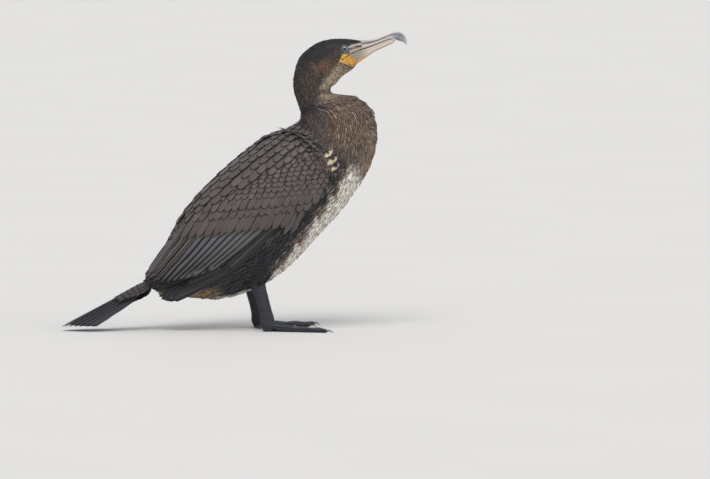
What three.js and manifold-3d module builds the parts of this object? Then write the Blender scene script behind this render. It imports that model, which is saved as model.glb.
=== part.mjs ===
// A great cormorant in its first year, at life size, standing with its neck drawn back and its wings folded.
// Millimetres. +X is the way the bird faces, +Y its left side, +Z up. The floor is z = 0, and the origin
// is on the floor, below the middle of the bird.
import * as THREE from "three";
import { mergeVertices } from "three/addons/utils/BufferGeometryUtils.js";
import { LoftGeometry } from "three/addons/geometries/LoftGeometry.js";
import Module from "manifold-3d";

const wasm = await Module();
wasm.setup();

// Driving sizes
const GAP = 0.35; // between two nodes that meet
const RIGHT = -1; // the sign of Y on each side
const LEFT = 1;

// The body, neck and head are one tube. Each row is a cross-section: the point on the back line (x, z), the
// point on the belly or throat line (x, z), and half the width. The rows fan out round the fold of the neck.
const TRUNK = [
  [-137, 85, -127, 63, 14],
  [-120, 108, -104, 51, 27],
  [-97, 140, -60, 47, 41],
  [-65, 183, -18, 45, 53],
  [-27, 223, 36, 62, 63],
  [16, 261, 84, 94, 68],
  [48, 285, 125, 137, 68],
  [76, 302, 161, 176, 64],
  [93, 311, 186, 210, 58],
  [99, 316, 207, 247, 52],
  [99.5, 319.5, 216.5, 291, 46],
  [99, 322, 206, 333, 40],
  [98.5, 325, 176, 352, 34],
  [97.5, 329, 149, 354.5, 29],
  [94, 340, 143.5, 359, 26],
  [88.5, 357, 146.5, 363.5, 25],
  [87.3, 371, 154, 368, 24.5],
  [89.5, 388, 163, 378.5, 24],
  [96.5, 408, 174, 386, 23],
  [110, 421, 183, 393.5, 21.5],
  [127, 431.5, 190.5, 400, 20],
  [146, 436, 196.5, 405.5, 18],
  [165, 436.5, 201, 410, 15.5],
  [181, 435, 204.5, 414, 13],
  [194, 432.5, 208, 418, 10.5],
];
const TRUNK_SIDES = 22; // points round each cross-section
const TRUNK_STEPS = 2; // cross-sections drawn per row of TRUNK
const BREAST_CUT = 8.4; // rows where the tube is parted into torso, lower neck, upper neck and head
const CREASE_CUT = 13;
const NAPE_CUT = 16.7;
const BODY_ROWS = [0.05, 9]; // the rows of the body, where they lie side by side in the side view

// Bill: each row is a cross-section, from its upper point (x, z) to its lower point (x, z), and half the width.
const BILL_STEPS = 1.5; // cross-sections drawn per row
const BILL_BASE = { top: [194, 433.5], bottom: [185, 399] }; // the slanted plane where the bill leaves the face
const UPPER_BILL = [
  [186, 433, 183, 418.5, 11.6],
  [200.5, 434, 199, 422.6, 9.4],
  [212, 435.6, 210, 426.6, 7.5],
  [222.5, 439, 219.5, 430, 6.4],
  [231, 442.6, 228.5, 433.6, 5.9],
  [237.5, 445, 236.5, 436, 5.9],
  [244, 446.3, 242.5, 434, 5.8],
  [250, 445.4, 246.5, 432.5, 5.3],
  [255.6, 441.8, 250, 431.8, 4.4],
  [259, 436.8, 253, 431, 3.3],
  [260, 431.5, 256, 429, 2.1],
  [259.3, 425.8, 258, 426.4, 0.8],
];
const LOWER_BILL = [
  [179, 416.5, 180, 394.5, 12],
  [199, 422.1, 199.5, 408.2, 9.4],
  [210, 426.1, 211, 416, 7.4],
  [219.5, 429.5, 221.5, 420.8, 6.2],
  [228.5, 433.1, 230.5, 424.8, 5.4],
  [235.5, 435.2, 237, 427.8, 4.6],
  [241.3, 433.2, 241.8, 430.6, 2.6],
];
// Rings of the two halves of the bill, as [share of the half-width, share of the way down]. The upper half has
// a rounded ridge, a long groove on each side, and a sharp cutting edge.
const UPPER_RING = [
  [0, 0], [0.4, 0.08], [0.62, 0.28], [0.62, 0.42], [0.92, 0.58], [1, 0.82], [0.88, 1], [0, 0.96],
];
const LOWER_RING = [
  [0, 0.03], [0.86, 0], [1, 0.2], [0.93, 0.6], [0.6, 0.92], [0, 1],
];

// Eye and gape
const EYE = { x: 164.5, z: 420.8, radius: 6.1, proud: 1.5 }; // proud is how far it stands out of the face
const LID = { radius: 5.6, tube: 1.3, lean: 0.12 }; // lean follows the slant of the face
const GAPE = {
  line: [[191, 420.4], [180, 416.6], [169.5, 411], [156, 402]], // the mouth line on the face, x and z
  height: 0.9,
  depth: 1.6,
};

// Folded wing: a pad of arm and covert feathers on the side of the body, from the bend to the rump.
const PAD_THICK = 6.5;
const PAD_SUNK = 3; // how far the pad starts inside the body, before the body is cut away from it
const PAD = [
  // row of TRUNK, upper edge and lower edge as degrees round from the back line, share of the full thickness
  [7.95, 74, 98, 0.25],
  [7.6, 40, 112, 0.7],
  [7.0, 22, 118, 0.95],
  [6.2, 10, 117, 1],
  [5.2, 5, 114, 1],
  [4.2, 4, 113, 1],
  [3.3, 4, 112, 0.9],
  [2.5, 6, 104, 0.7],
  [1.9, 14, 84, 0.35],
];
const PAD_RINGS = 13;
const PAD_SIDES = 9; // points along the outer face of each cross-section
const PAD_RIM = 1.2; // thickness at the edges

// Rows of covert feathers. from and to are the ends of the line of feather tips, seen from the side (x, z), and
// turn is the way that a feather points in that view, in degrees up from +X.
const COVERT_ROWS = [
  { from: [56, 163], to: [-76, 141], count: 8, length: 50, width: 21, turn: 239 },
  { from: [64, 184], to: [-64, 164], count: 6, length: 38, width: 26, turn: 237 },
  { from: [88, 195], to: [-44, 185], count: 6, length: 36, width: 27, turn: 236 },
  { from: [108, 212], to: [12, 205], count: 5, length: 36, width: 24, turn: 235 },
  { from: [128, 224], to: [78, 226], count: 3, length: 34, width: 24, turn: 233 },
];
const COVERT = { thick: 0.9, root: -3, tip: 3 }; // and how far its two ends stand off the pad
// Rows of scapular feathers, over the shoulder. Each tip is [row of TRUNK, degrees round from the back line].
const SCAPULAR_ROWS = [
  { tips: [[6.5, 60], [5.7, 55], [4.9, 48], [4.1, 40]], length: 1.05, width: 23 },
  { tips: [[6.4, 39], [5.4, 35], [4.4, 28], [3.4, 24]], length: 1.3, width: 23 },
  { tips: [[6.1, 19], [5.1, 15], [4.1, 13], [3.1, 12]], length: 1.3, width: 22 },
];
const SCAPULAR = { thick: 0.9, root: -2.4, tip: 4, inward: 5 }; // the root lies 5 degrees nearer the back line
const TILT = 0.7; // how far a feather's outer edge is raised over the next one
// Flight feathers. A root is where one leaves the pad, seen from the side (x, z), and a tip is where it ends:
// x, distance from the middle and z. Facing is the way that a tip looks: forward, outward and up.
const ROOT_SUNK = 1.5;
const SECONDARIES = {
  rootInner: [-72, 165],
  rootOuter: [66, 172],
  tips: [
    [-125, 8, 82], [-121, 15, 75], [-112, 24, 71], [-101, 31, 74],
    [-89, 38, 77], [-75, 45, 81], [-60, 51, 86], [-43, 57, 92], [-14, 64, 94],
  ],
  widths: [17, 17, 16, 15, 15, 15, 15, 16, 19],
  thick: 1,
  clear: 3, // how far they stand off the body
  stack: 0.45, // and how much further each one stands off than the next one out
  facingInner: [-0.45, 0.55, 0.7],
  facingOuter: [0, 1, 0.1],
};
const PRIMARIES = {
  roots: [[12, 114], [5, 105], [-2, 96]],
  tips: [[-112, 23, 51], [-108, 27, 47], [-98, 32, 46]],
  widths: [15, 15, 15],
  thick: 1,
  clear: 1,
  stack: 0.6,
  facing: [0, 1, 0.25],
};

// Tail: fourteen stiff feathers in a low arch, the middle pair longest, and feathers that cover their roots.
const TAIL = {
  root: [-130, 74], // x, z
  tip: [-258, 6.5], // of the middle pair
  perSide: 7,
  spread: 8.6, // degrees of arch between neighbours
  rootArch: 15, // radius of the arch at the root and at the tips
  tipArch: 34,
  width: 12,
  covertWidth: 15,
  thick: 1,
  tilt: 1.3,
  stack: 0.8, // how far each feather lies below its inner neighbour
  shortest: 0.74, // length of the outermost feather over the middle one
  covertLift: [1.6, 2.8], // how far the coverts stand off at the root and the tip
};
// The feathers that cover the roots of the tail above: how far round the arch, in degrees, and their reach.
const TAIL_COVERTS = [[-32, 0.3], [-10, 0.36], [10, 0.36], [32, 0.3]];
// The fleshy root of the tail, with the soft feathers under it: x, z, half the height and half the width.
const TAIL_CORE = [[-128, 71, 12, 15], [-140, 65, 11, 17], [-156, 57, 7, 16], [-172, 49, 3, 12]];
const TAIL_CORE_LEAN = 0.45; // the sections lean back with the tail

// Legs: one entry for each side. x moves the whole leg, as the left one stands a little further back.
const LEGS = {
  [RIGHT]: { name: "right", x: 0 },
  [LEFT]: { name: "left", x: -8 },
};
const LEG = {
  ankle: [34, 34, 67], // x, distance from the middle, z
  joint: [48, 40, 16], // where the toes meet
};
// Cross-sections of the thigh, from the ankle: forward, outward, up, half the length and half the width.
const THIGH = [
  [24, 2, 60, 8, 5], [22, 2, 54, 20, 12], [15, 3, 38, 24, 17], [7, 2, 22, 19, 15], [2, 1, 10, 14, 12],
  [0, 0, 4, 11.5, 9.5],
];
// Cross-sections of the shank: share of the way from ankle to joint, forward, up, and the same two halves.
const SHANK = [
  [0, -1, 8, 7, 5], [0, -1, 4, 11, 7.5], [0, 0, -4, 11.5, 7.8], [0.3, 0, 0, 9.6, 6.4], [0.65, 0, 0, 9.2, 6.2],
  [1, -1, 2, 10, 7.2],
];
// Cross-sections of the heel: forward of the joint, height over the floor, and the same two halves.
const HEEL = [[0, 0, 7, 6], [0, 4, 9, 7.5], [-1, 10, 10.5, 8], [-1.5, 22, 10, 7]];
const ANKLE_CUT = 72; // heights where the thigh, the shank and the foot are parted
const FOOT_CUT = 20;
const TOES = [
  // name, degrees outwards from straight ahead, length without the claw, radius at the root
  ["hallux", -92, 27, 4.2],
  ["inner", -26, 52, 4.6],
  ["middle", 1, 76, 5],
  ["outer", 21, 90, 5.2],
];
const TOE = {
  rings: 7,
  sides: 8,
  knuckles: 3,
  bulge: 0.1, // of the knuckles, as a share of the radius
  slim: 0.55, // radius at the claw over the radius at the root
  rootDrop: 4, // how far below the joint the toe starts
  landing: 0.32, // share of the length that it takes to come down to the floor
  sole: 0.8, // height of its middle over the floor, in radii
};
const WEB = {
  thick: 1.4,
  height: 0.5, // of its lower face over the floor
  reach: 0.94, // along the toes
  hollow: 0.24, // how far its edge draws back between two toes
  rings: [0.06, 0.25, 0.6, 1], // shares of the reach
  rise: 9, // height at the joint
  riseReach: 30, // distance from the joint where it lies flat
};
const CLAW = { length: 11, radius: 2.3, point: 0.35, height: 0.6, arch: 1.2, rings: 4, sides: 6 };

const FEATHER = new THREE.MeshStandardMaterial({ color: 0x3a322d, roughness: 0.75, metalness: 0 });
const FLIGHT = new THREE.MeshStandardMaterial({ color: 0x2b2a2c, roughness: 0.6, metalness: 0 });
const DOWN = new THREE.MeshStandardMaterial({ color: 0x4a3b30, roughness: 0.85, metalness: 0 });
const HORN = new THREE.MeshStandardMaterial({ color: 0x8b8680, roughness: 0.45, metalness: 0 });
const SCALE = new THREE.MeshStandardMaterial({ color: 0x2e2f34, roughness: 0.55, metalness: 0 });
const EYEBALL = new THREE.MeshStandardMaterial({ color: 0x6f8a86, roughness: 0.1, metalness: 0 });

const RAD = Math.PI / 180;
const lerp = THREE.MathUtils.lerp;
const V = (x, y, z) => new THREE.Vector3(x, y, z);

// Solids

// A closed geometry as a solid, whichever way round its faces are.
function solid(geometry) {
  const plain = new THREE.BufferGeometry();
  plain.setAttribute("position", geometry.getAttribute("position"));
  plain.setIndex(geometry.index);
  const merged = mergeVertices(plain, 1e-3);
  const index = merged.index.array;
  const kept = [];
  for (let i = 0; i < index.length; i += 3) {
    const [a, b, c] = [index[i], index[i + 1], index[i + 2]];
    if (a !== b && b !== c && a !== c) kept.push(a, b, c);
  }
  const vertProperties = merged.attributes.position.array;
  const make = (triVerts) => new wasm.Manifold(new wasm.Mesh({ numProp: 3, vertProperties, triVerts }));
  const made = make(new Uint32Array(kept));
  if (made.volume() > 0) return made;
  const turned = kept.slice();
  for (let i = 0; i < turned.length; i += 3) [turned[i + 1], turned[i + 2]] = [kept[i + 2], kept[i + 1]];
  return make(new Uint32Array(turned));
}

const join = (solids) => solids.reduce((all, one) => all.add(one));

// The largest closed surface of a solid, without the scraps that a cut leaves.
function largest(made) {
  return made.decompose().reduce((best, one) => (one.volume() > best.volume() ? one : best));
}

// A solid as a named mesh.
function node(name, made, material) {
  const out = largest(made).getMesh();
  const positions = new Float32Array(out.numVert * 3);
  for (let i = 0; i < out.numVert; i++) {
    positions.set(out.vertProperties.subarray(i * out.numProp, i * out.numProp + 3), i * 3);
  }
  const geometry = new THREE.BufferGeometry();
  geometry.setAttribute("position", new THREE.BufferAttribute(positions, 3));
  geometry.setIndex(new THREE.BufferAttribute(new Uint32Array(out.triVerts), 1));
  geometry.computeVertexNormals();
  const mesh = new THREE.Mesh(geometry, material);
  mesh.name = name;
  return mesh;
}

// A loft through rings of points, closed at both ends, with every ring turned the way that faces its walls out.
function tube(rings) {
  const centre = (ring) => ring.reduce((sum, p) => sum.add(p), V(0, 0, 0)).divideScalar(ring.length);
  const middle = centre(rings[0]);
  const spoke = (i) => rings[0][i % rings[0].length].clone().sub(middle);
  const round = rings[0].reduce((sum, _, i) => sum.add(spoke(i).cross(spoke(i + 1))), V(0, 0, 0));
  const outward = round.dot(centre(rings[1]).sub(middle)) > 0;
  const ordered = outward ? rings : rings.map((ring) => ring.slice().reverse());
  return solid(new LoftGeometry(ordered, { capStart: true, capEnd: true }));
}

// A thin plate between two grids of points, split into triangles alike on both faces.
function plate(top, bottom) {
  const rows = top.length;
  const columns = top[0].length;
  const points = [...top.flat(), ...bottom.flat()];
  const over = (i, j) => i * columns + j;
  const under = (i, j) => rows * columns + i * columns + j;
  const faces = [];
  const quad = (a, b, c, d) => faces.push(a, b, c, a, c, d);
  for (let i = 0; i < rows - 1; i++) {
    for (let j = 0; j < columns - 1; j++) {
      quad(over(i, j), over(i, j + 1), over(i + 1, j + 1), over(i + 1, j));
      faces.push(under(i, j), under(i + 1, j + 1), under(i, j + 1));
      faces.push(under(i, j), under(i + 1, j), under(i + 1, j + 1));
    }
    quad(over(i + 1, 0), under(i + 1, 0), under(i, 0), over(i, 0));
    quad(over(i, columns - 1), under(i, columns - 1), under(i + 1, columns - 1), over(i + 1, columns - 1));
  }
  for (let j = 0; j < columns - 1; j++) {
    quad(over(0, j), under(0, j), under(0, j + 1), over(0, j + 1));
    const last = rows - 1;
    quad(over(last, j + 1), under(last, j + 1), under(last, j), over(last, j));
  }
  const geometry = new THREE.BufferGeometry();
  geometry.setAttribute("position", new THREE.Float32BufferAttribute(points.flatMap((p) => [p.x, p.y, p.z]), 3));
  geometry.setIndex(faces);
  return solid(geometry);
}

// Keeps the part of a solid that is ahead of a plane, or behind it, and leaves half a gap.
const ahead = (made, plane) => made.trimByPlane(plane.normal, plane.offset + GAP / 2);
const behind = (made, plane) => made.trimByPlane(plane.normal.map((n) => -n), -plane.offset + GAP / 2);

// The plane across the bird through two points of the side view. It faces right of the way from first to second.
function planeThrough([x1, z1], [x2, z2]) {
  const length = Math.hypot(x2 - x1, z2 - z1);
  const normal = [(z2 - z1) / length, 0, (x1 - x2) / length];
  return { normal, offset: normal[0] * x1 + normal[2] * z1 };
}

// Body, neck and head

const backLine = new THREE.CatmullRomCurve3(TRUNK.map((r) => V(r[0], r[4], r[1])));
const bellyLine = new THREE.CatmullRomCurve3(TRUNK.map((r) => V(r[2], r[4], r[3])));
const LAST_ROW = TRUNK.length - 1;

// A point of the tube's surface. row counts along TRUNK, and turn is the angle from the back line, towards
// the side that the sign of side names.
function trunkPoint(row, turn, side = RIGHT) {
  const back = backLine.getPoint(row / LAST_ROW);
  const belly = bellyLine.getPoint(row / LAST_ROW);
  const across = side * Math.sin(turn) * back.y;
  const down = (1 - Math.cos(turn)) / 2;
  return V(lerp(back.x, belly.x, down), across, lerp(back.z, belly.z, down));
}

function trunkNormal(row, turn, side = RIGHT) {
  const step = 0.02;
  const along = trunkPoint(row + step, turn, side).sub(trunkPoint(row - step, turn, side));
  const round = trunkPoint(row, turn + step, side).sub(trunkPoint(row, turn - step, side));
  return round.cross(along).multiplyScalar(-side).normalize();
}

// The same point, moved off the surface.
function offTrunk(row, turn, side, lift) {
  return trunkPoint(row, turn, side).addScaledVector(trunkNormal(row, turn, side), lift);
}

// The place on the tube that is seen at (x, z) from the side: its row and its turn from the back line.
function seenAt(x, z) {
  const miss = (row) => {
    const [back, belly] = [backLine.getPoint(row / LAST_ROW), bellyLine.getPoint(row / LAST_ROW)];
    return (x - back.x) * (belly.z - back.z) - (z - back.z) * (belly.x - back.x);
  };
  let [low, high] = BODY_ROWS;
  for (let i = 0; i < 30; i++) {
    const middle = (low + high) / 2;
    if (miss(middle) > 0 === miss(high) > 0) high = middle;
    else low = middle;
  }
  const [back, belly] = [backLine.getPoint(low / LAST_ROW), bellyLine.getPoint(low / LAST_ROW)];
  const reach = [belly.x - back.x, belly.z - back.z];
  const down = ((x - back.x) * reach[0] + (z - back.z) * reach[1]) / (reach[0] ** 2 + reach[1] ** 2);
  const turn = Math.acos(1 - 2 * THREE.MathUtils.clamp(down, 0.003, 0.997));
  return { row: low, turn, inside: down > 0 && down < 1 };
}

function trunkRings(grow = 0) {
  return Array.from({ length: LAST_ROW * TRUNK_STEPS + 1 }, (_, k) => {
    const row = k / TRUNK_STEPS;
    const inner = THREE.MathUtils.clamp(row, 0.05, LAST_ROW - 0.05); // the normal needs rows on both sides
    return Array.from({ length: TRUNK_SIDES }, (_, i) => {
      const turn = (i / TRUNK_SIDES) * 2 * Math.PI;
      return trunkPoint(row, turn).addScaledVector(trunkNormal(inner, turn), grow);
    });
  });
}

const trunk = tube(trunkRings());
const grownTrunk = tube(trunkRings(GAP));
const rowPlane = (row) => {
  const [back, belly] = [backLine.getPoint(row / LAST_ROW), bellyLine.getPoint(row / LAST_ROW)];
  return planeThrough([belly.x, belly.z], [back.x, back.z]);
};
const creasePlane = rowPlane(CREASE_CUT);
const breastPlane = rowPlane(BREAST_CUT);
const napePlane = rowPlane(NAPE_CUT);
const billPlane = planeThrough(BILL_BASE.bottom, BILL_BASE.top);
const rumpPlane = planeThrough(TRUNK[0].slice(0, 2), TRUNK[0].slice(2, 4));

// Head

function lid(side) {
  const ring = new THREE.TorusGeometry(LID.radius, LID.tube, 5, 16);
  ring.rotateX(Math.PI / 2).rotateZ(side * -LID.lean);
  return solid(ring.translate(EYE.x, side * seenOnHead(EYE.x, EYE.z), EYE.z));
}

function eyeball(side, grow) {
  const ball = new THREE.SphereGeometry(EYE.radius + grow, 14, 8);
  const y = seenOnHead(EYE.x, EYE.z) + EYE.proud - EYE.radius;
  return solid(ball.rotateX(Math.PI / 2).translate(EYE.x, side * y, EYE.z));
}

// The groove of the mouth line behind the bill, cut into one side of the face.
function gapeGroove(side) {
  const outside = 6; // how far the cutter reaches out of the face
  const half = GAPE.height / 2;
  const rings = GAPE.line.map(([x, z]) => {
    const place = seenOnHead(x, z);
    const [inner, outer] = [side * (place - GAPE.depth), side * (place + outside)];
    return [V(x, inner, z - half), V(x, outer, z - half), V(x, outer, z + half), V(x, inner, z + half)];
  });
  return tube(rings);
}

// Half the width of the head at (x, z), seen from the side.
function seenOnHead(x, z) {
  let best = { distance: Infinity, y: 0 };
  for (let row = Math.floor(NAPE_CUT); row < LAST_ROW; row += 0.1) {
    for (let turn = 0.2; turn < Math.PI; turn += 0.08) {
      const p = trunkPoint(row, turn, LEFT);
      const distance = Math.hypot(p.x - x, p.z - z);
      if (distance < best.distance) best = { distance, y: p.y };
    }
  }
  return best.y;
}

function billRings(rows, ring) {
  const curve = (i) => new THREE.CatmullRomCurve3(rows.map((r) => V(r[i], r[4], r[i + 1])));
  const [upper, lower] = [curve(0), curve(2)];
  const steps = Math.round((rows.length - 1) * BILL_STEPS);
  return Array.from({ length: steps + 1 }, (_, i) => {
    const t = i / steps;
    const [a, b] = [upper.getPoint(t), lower.getPoint(t)];
    const point = ([across, down], side) => V(lerp(a.x, b.x, down), side * across * a.y, lerp(a.z, b.z, down));
    const half = ring.map((p) => point(p, RIGHT));
    const other = ring.slice(1, -1).reverse().map((p) => point(p, LEFT));
    return [...half, ...other];
  });
}

// Wing

// The outer face of the wing pad, with its thickness fading out towards its edges.
function padPoint(row, turn, side, lift) {
  return offTrunk(row, turn, side, PAD_THICK + lift);
}

function wingPad(side) {
  const curve = new THREE.CatmullRomCurve3(PAD.map(([row, low, high]) => V(row, low, high)));
  const shares = new THREE.CatmullRomCurve3(PAD.map((r, i) => V(i, r[3], 0)));
  const rings = Array.from({ length: PAD_RINGS }, (_, i) => {
    const t = i / (PAD_RINGS - 1);
    const { x: row, y: low, z: high } = curve.getPoint(t);
    const share = shares.getPoint(t).y;
    const outer = Array.from({ length: PAD_SIDES }, (_, j) => {
      const u = j / (PAD_SIDES - 1);
      const rounded = Math.sqrt(Math.max(0, 1 - (2 * u - 1) ** 6));
      const thick = lerp(PAD_RIM, PAD_THICK * share, rounded);
      return offTrunk(row, lerp(low, high, u) * RAD, side, thick);
    });
    const inner = [0.9, 0.5, 0.1].map((u) => offTrunk(row, lerp(low, high, u) * RAD, side, -PAD_SUNK));
    return [...outer, ...inner];
  });
  return tube(rings);
}

// The outlines of the feathers, as [share of the length, share of the width]: narrow at the root, widest past
// the middle and round at the tip.
const SHORT_VANE = [[0, 0.5], [0.5, 1], [0.84, 0.88], [1, 0.4]];
const LONG_VANE = [[0, 0.3], [0.35, 0.9], [0.7, 1], [0.92, 0.8], [1, 0.36]];

// A feather as a thin plate along a line of places, each with a point and the normal of the surface under it.
// tilt raises one edge and lowers the other.
function vane(places, outline, width, thick, tilt) {
  const curve = new THREE.CatmullRomCurve3(places.map((p) => p.point));
  const rows = outline.map(([t, share]) => {
    const at = Math.min(places.length - 1.001, t * (places.length - 1));
    const [before, after] = [places[Math.floor(at)].normal, places[Math.floor(at) + 1].normal];
    const normal = before.clone().lerp(after, at % 1).normalize();
    const tangent = curve.getTangent(t);
    const across = normal.clone().cross(tangent).normalize();
    const centre = curve.getPoint(t);
    return { centre, normal, across, half: (width / 2) * share };
  });
  const face = (sign) =>
    rows.map(({ centre, normal, across, half }) =>
      [-1, 1].map((edge) =>
        centre
          .clone()
          .addScaledVector(across, edge * half)
          .addScaledVector(normal, (sign * thick) / 2 + edge * tilt),
      ),
    );
  return plate(face(1), face(-1));
}

function covertRow({ from, to, count, length, width, turn }, side) {
  return Array.from({ length: count }, (_, i) => {
    const t = i / (count - 1);
    const tip = [lerp(from[0], to[0], t), lerp(from[1], to[1], t)];
    const places = [1, 0.66, 0.33, 0].map((back) => {
      const [x, z] = [
        tip[0] - Math.cos(turn * RAD) * length * back,
        tip[1] - Math.sin(turn * RAD) * length * back,
      ];
      const { row, turn: round } = seenAt(x, z);
      const rise = lerp(COVERT.tip, COVERT.root, back);
      return { point: padPoint(row, round, side, rise), normal: trunkNormal(row, round, side) };
    });
    return vane(places, SHORT_VANE, width, COVERT.thick, side * TILT);
  });
}

function scapularRow({ tips, length, width }, side) {
  return tips.map(([row, degrees]) => {
    const places = [1, 0.66, 0.33, 0].map((back) => {
      const [r, round] = [row + length * back, (degrees - SCAPULAR.inward * back) * RAD];
      const rise = lerp(SCAPULAR.tip, SCAPULAR.root, back);
      return { point: padPoint(r, round, side, rise), normal: trunkNormal(r, round, side) };
    });
    return vane(places, SHORT_VANE, width, SCAPULAR.thick, side * TILT);
  });
}

// The line of a flight feather from the pad to its tip, straight in the side view and clear of the body.
function flightPlaces(root, tip, side, clear, stack, [forward, outward, up]) {
  const start = seenAt(root[0], root[1]);
  const rootDepth = Math.abs(padPoint(start.row, start.turn, side, -ROOT_SUNK).y);
  const rootNormal = trunkNormal(start.row, start.turn, side);
  const tipNormal = V(forward, side * outward, up).normalize();
  return [0, 0.25, 0.5, 0.75, 1].map((t) => {
    const [x, z] = [lerp(root[0], tip[0], t), lerp(root[1], tip[2], t)];
    const under = seenAt(x, z);
    const depth = under.inside ? Math.abs(offTrunk(under.row, under.turn, side, clear).y) : 0;
    const y = side * Math.max(depth, lerp(rootDepth, tip[1], t));
    const normal = rootNormal.clone().lerp(tipNormal, t).normalize();
    return { point: V(x, y, z).addScaledVector(normal, stack * t), normal };
  });
}

function secondaries(side) {
  const { rootInner, rootOuter, tips, clear, stack, facingInner, facingOuter } = SECONDARIES;
  const outermost = tips.length - 1;
  return tips.map((tip, i) => {
    const between = (inner, outer) => inner.map((value, k) => lerp(value, outer[k], i / outermost));
    const facing = between(facingInner, facingOuter);
    return flightPlaces(between(rootInner, rootOuter), tip, side, clear, stack * (outermost - i), facing);
  });
}

function primaries(side) {
  const { roots, tips, clear, stack, facing } = PRIMARIES;
  const outermost = tips.length - 1;
  return roots.map((root, i) => flightPlaces(root, tips[i], side, clear, stack * (outermost - i), facing));
}

function wing(side) {
  const flight = (lines, widths, thick) =>
    lines.map((places, i) => vane(places, LONG_VANE, widths[i], thick, side * -TILT));
  const pieces = [
    wingPad(side),
    ...flight(secondaries(side), SECONDARIES.widths, SECONDARIES.thick),
    ...flight(primaries(side), PRIMARIES.widths, PRIMARIES.thick),
    ...COVERT_ROWS.flatMap((row) => covertRow(row, side)),
    ...SCAPULAR_ROWS.flatMap((row) => scapularRow(row, side)),
  ];
  const middle = { normal: [0, side, 0], offset: GAP / 2 };
  return ahead(join(pieces).subtract(grownTrunk), middle);
}

// Tail

function tailPlaces(arch, share, sink = 0) {
  const { root, tip, rootArch, tipArch } = TAIL;
  const along = V(tip[0] - root[0], 0, tip[1] - root[1]);
  const reach = along.length();
  along.normalize();
  const up = V(-along.z, 0, along.x).multiplyScalar(along.x < 0 ? -1 : 1);
  return [0, 0.33, 0.66, 1].map((t) => {
    const radius = lerp(rootArch, tipArch, t);
    const normal = up.clone().multiplyScalar(Math.cos(arch)).add(V(0, Math.sin(arch), 0));
    const point = V(root[0], 0, root[1])
      .addScaledVector(along, reach * share * t)
      .addScaledVector(up, radius * (Math.cos(arch) - 1))
      .add(V(0, radius * Math.sin(arch), 0))
      .addScaledVector(normal, -sink);
    return { point, normal };
  });
}

// The lines of the tail feathers, from the outermost on the right to the outermost on the left.
function tailLines() {
  const { perSide, spread, shortest, stack } = TAIL;
  return Array.from({ length: perSide * 2 }, (_, i) => {
    const place = i - perSide + 0.5;
    const out = (Math.abs(place) - 0.5) / (perSide - 1);
    return tailPlaces(place * spread * RAD, lerp(1, shortest, out ** 1.3), stack * out * (perSide - 1));
  });
}

function tailCore() {
  const sides = 12;
  return tube(
    TAIL_CORE.map(([x, z, high, wide]) =>
      Array.from({ length: sides }, (_, i) => {
        const turn = (i / sides) * 2 * Math.PI;
        return V(x - TAIL_CORE_LEAN * high * Math.sin(turn), wide * Math.cos(turn), z + high * Math.sin(turn));
      }),
    ),
  );
}

function tail() {
  const feathers = tailLines().map((places, i) => {
    const side = i < TAIL.perSide ? RIGHT : LEFT;
    return vane(places, LONG_VANE, TAIL.width, TAIL.thick, side * -TAIL.tilt);
  });
  const coverts = TAIL_COVERTS.map(([turn, share]) => {
    const places = tailPlaces(turn * RAD, share);
    const lift = (i) => lerp(...TAIL.covertLift, i / (places.length - 1));
    places.forEach((p, i) => p.point.addScaledVector(p.normal, lift(i)));
    return vane(places, SHORT_VANE, TAIL.covertWidth, TAIL.thick, Math.sign(turn) * -TILT);
  });
  return ahead(join([tailCore(), ...feathers, ...coverts]), rumpPlane);
}

// Legs

// A tube through oval cross-sections: [x, y, z, half-length fore and aft, half-width].
function limb(rows, side, sides = 12) {
  return tube(
    rows.map(([x, y, z, fore, wide]) =>
      Array.from({ length: sides }, (_, i) => {
        const turn = (i / sides) * 2 * Math.PI;
        return V(x + fore * Math.cos(turn), side * y + wide * Math.sin(turn), z);
      }),
    ),
  );
}

function thigh(side, dx) {
  const [x, y, z] = LEG.ankle;
  const sides = 14;
  const rows = THIGH.map(([fore, out, up, ...halves]) => [x + fore + dx, y + out, z + up, ...halves]);
  return limb(rows, side, sides);
}

function shank(side, dx) {
  const rows = SHANK.map(([share, fore, up, ...halves]) => {
    const [x, y, z] = LEG.ankle.map((from, k) => lerp(from, LEG.joint[k], share));
    return [x + fore + dx, y, z + up, ...halves];
  });
  return limb(rows, side);
}

// The toe's centre line, radius and flat sole: it leaves the joint high, comes down and lies on the floor.
function toe(side, dx, [, degrees, length, radius]) {
  const [jx, jy, jz] = LEG.joint;
  const [cos, sin] = [Math.cos(degrees * RAD), Math.sin(degrees * RAD)];
  const rings = Array.from({ length: TOE.rings }, (_, i) => {
    const t = i / (TOE.rings - 1);
    const bulge = 1 + TOE.bulge * Math.cos(t * TOE.knuckles * 2 * Math.PI);
    const r = lerp(radius, radius * TOE.slim, t) * bulge;
    const landed = Math.min(1, t / TOE.landing);
    const z = lerp(jz - TOE.rootDrop, r * TOE.sole, landed * (2 - landed));
    return Array.from({ length: TOE.sides }, (_, j) => {
      const turn = ((j + 0.5) / TOE.sides) * 2 * Math.PI;
      const across = r * Math.cos(turn);
      return V(
        jx + dx + t * length * cos - across * sin,
        side * (jy + t * length * sin + across * cos),
        Math.max(0, z + r * Math.sin(turn)),
      );
    });
  });
  return tube(rings);
}

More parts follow.
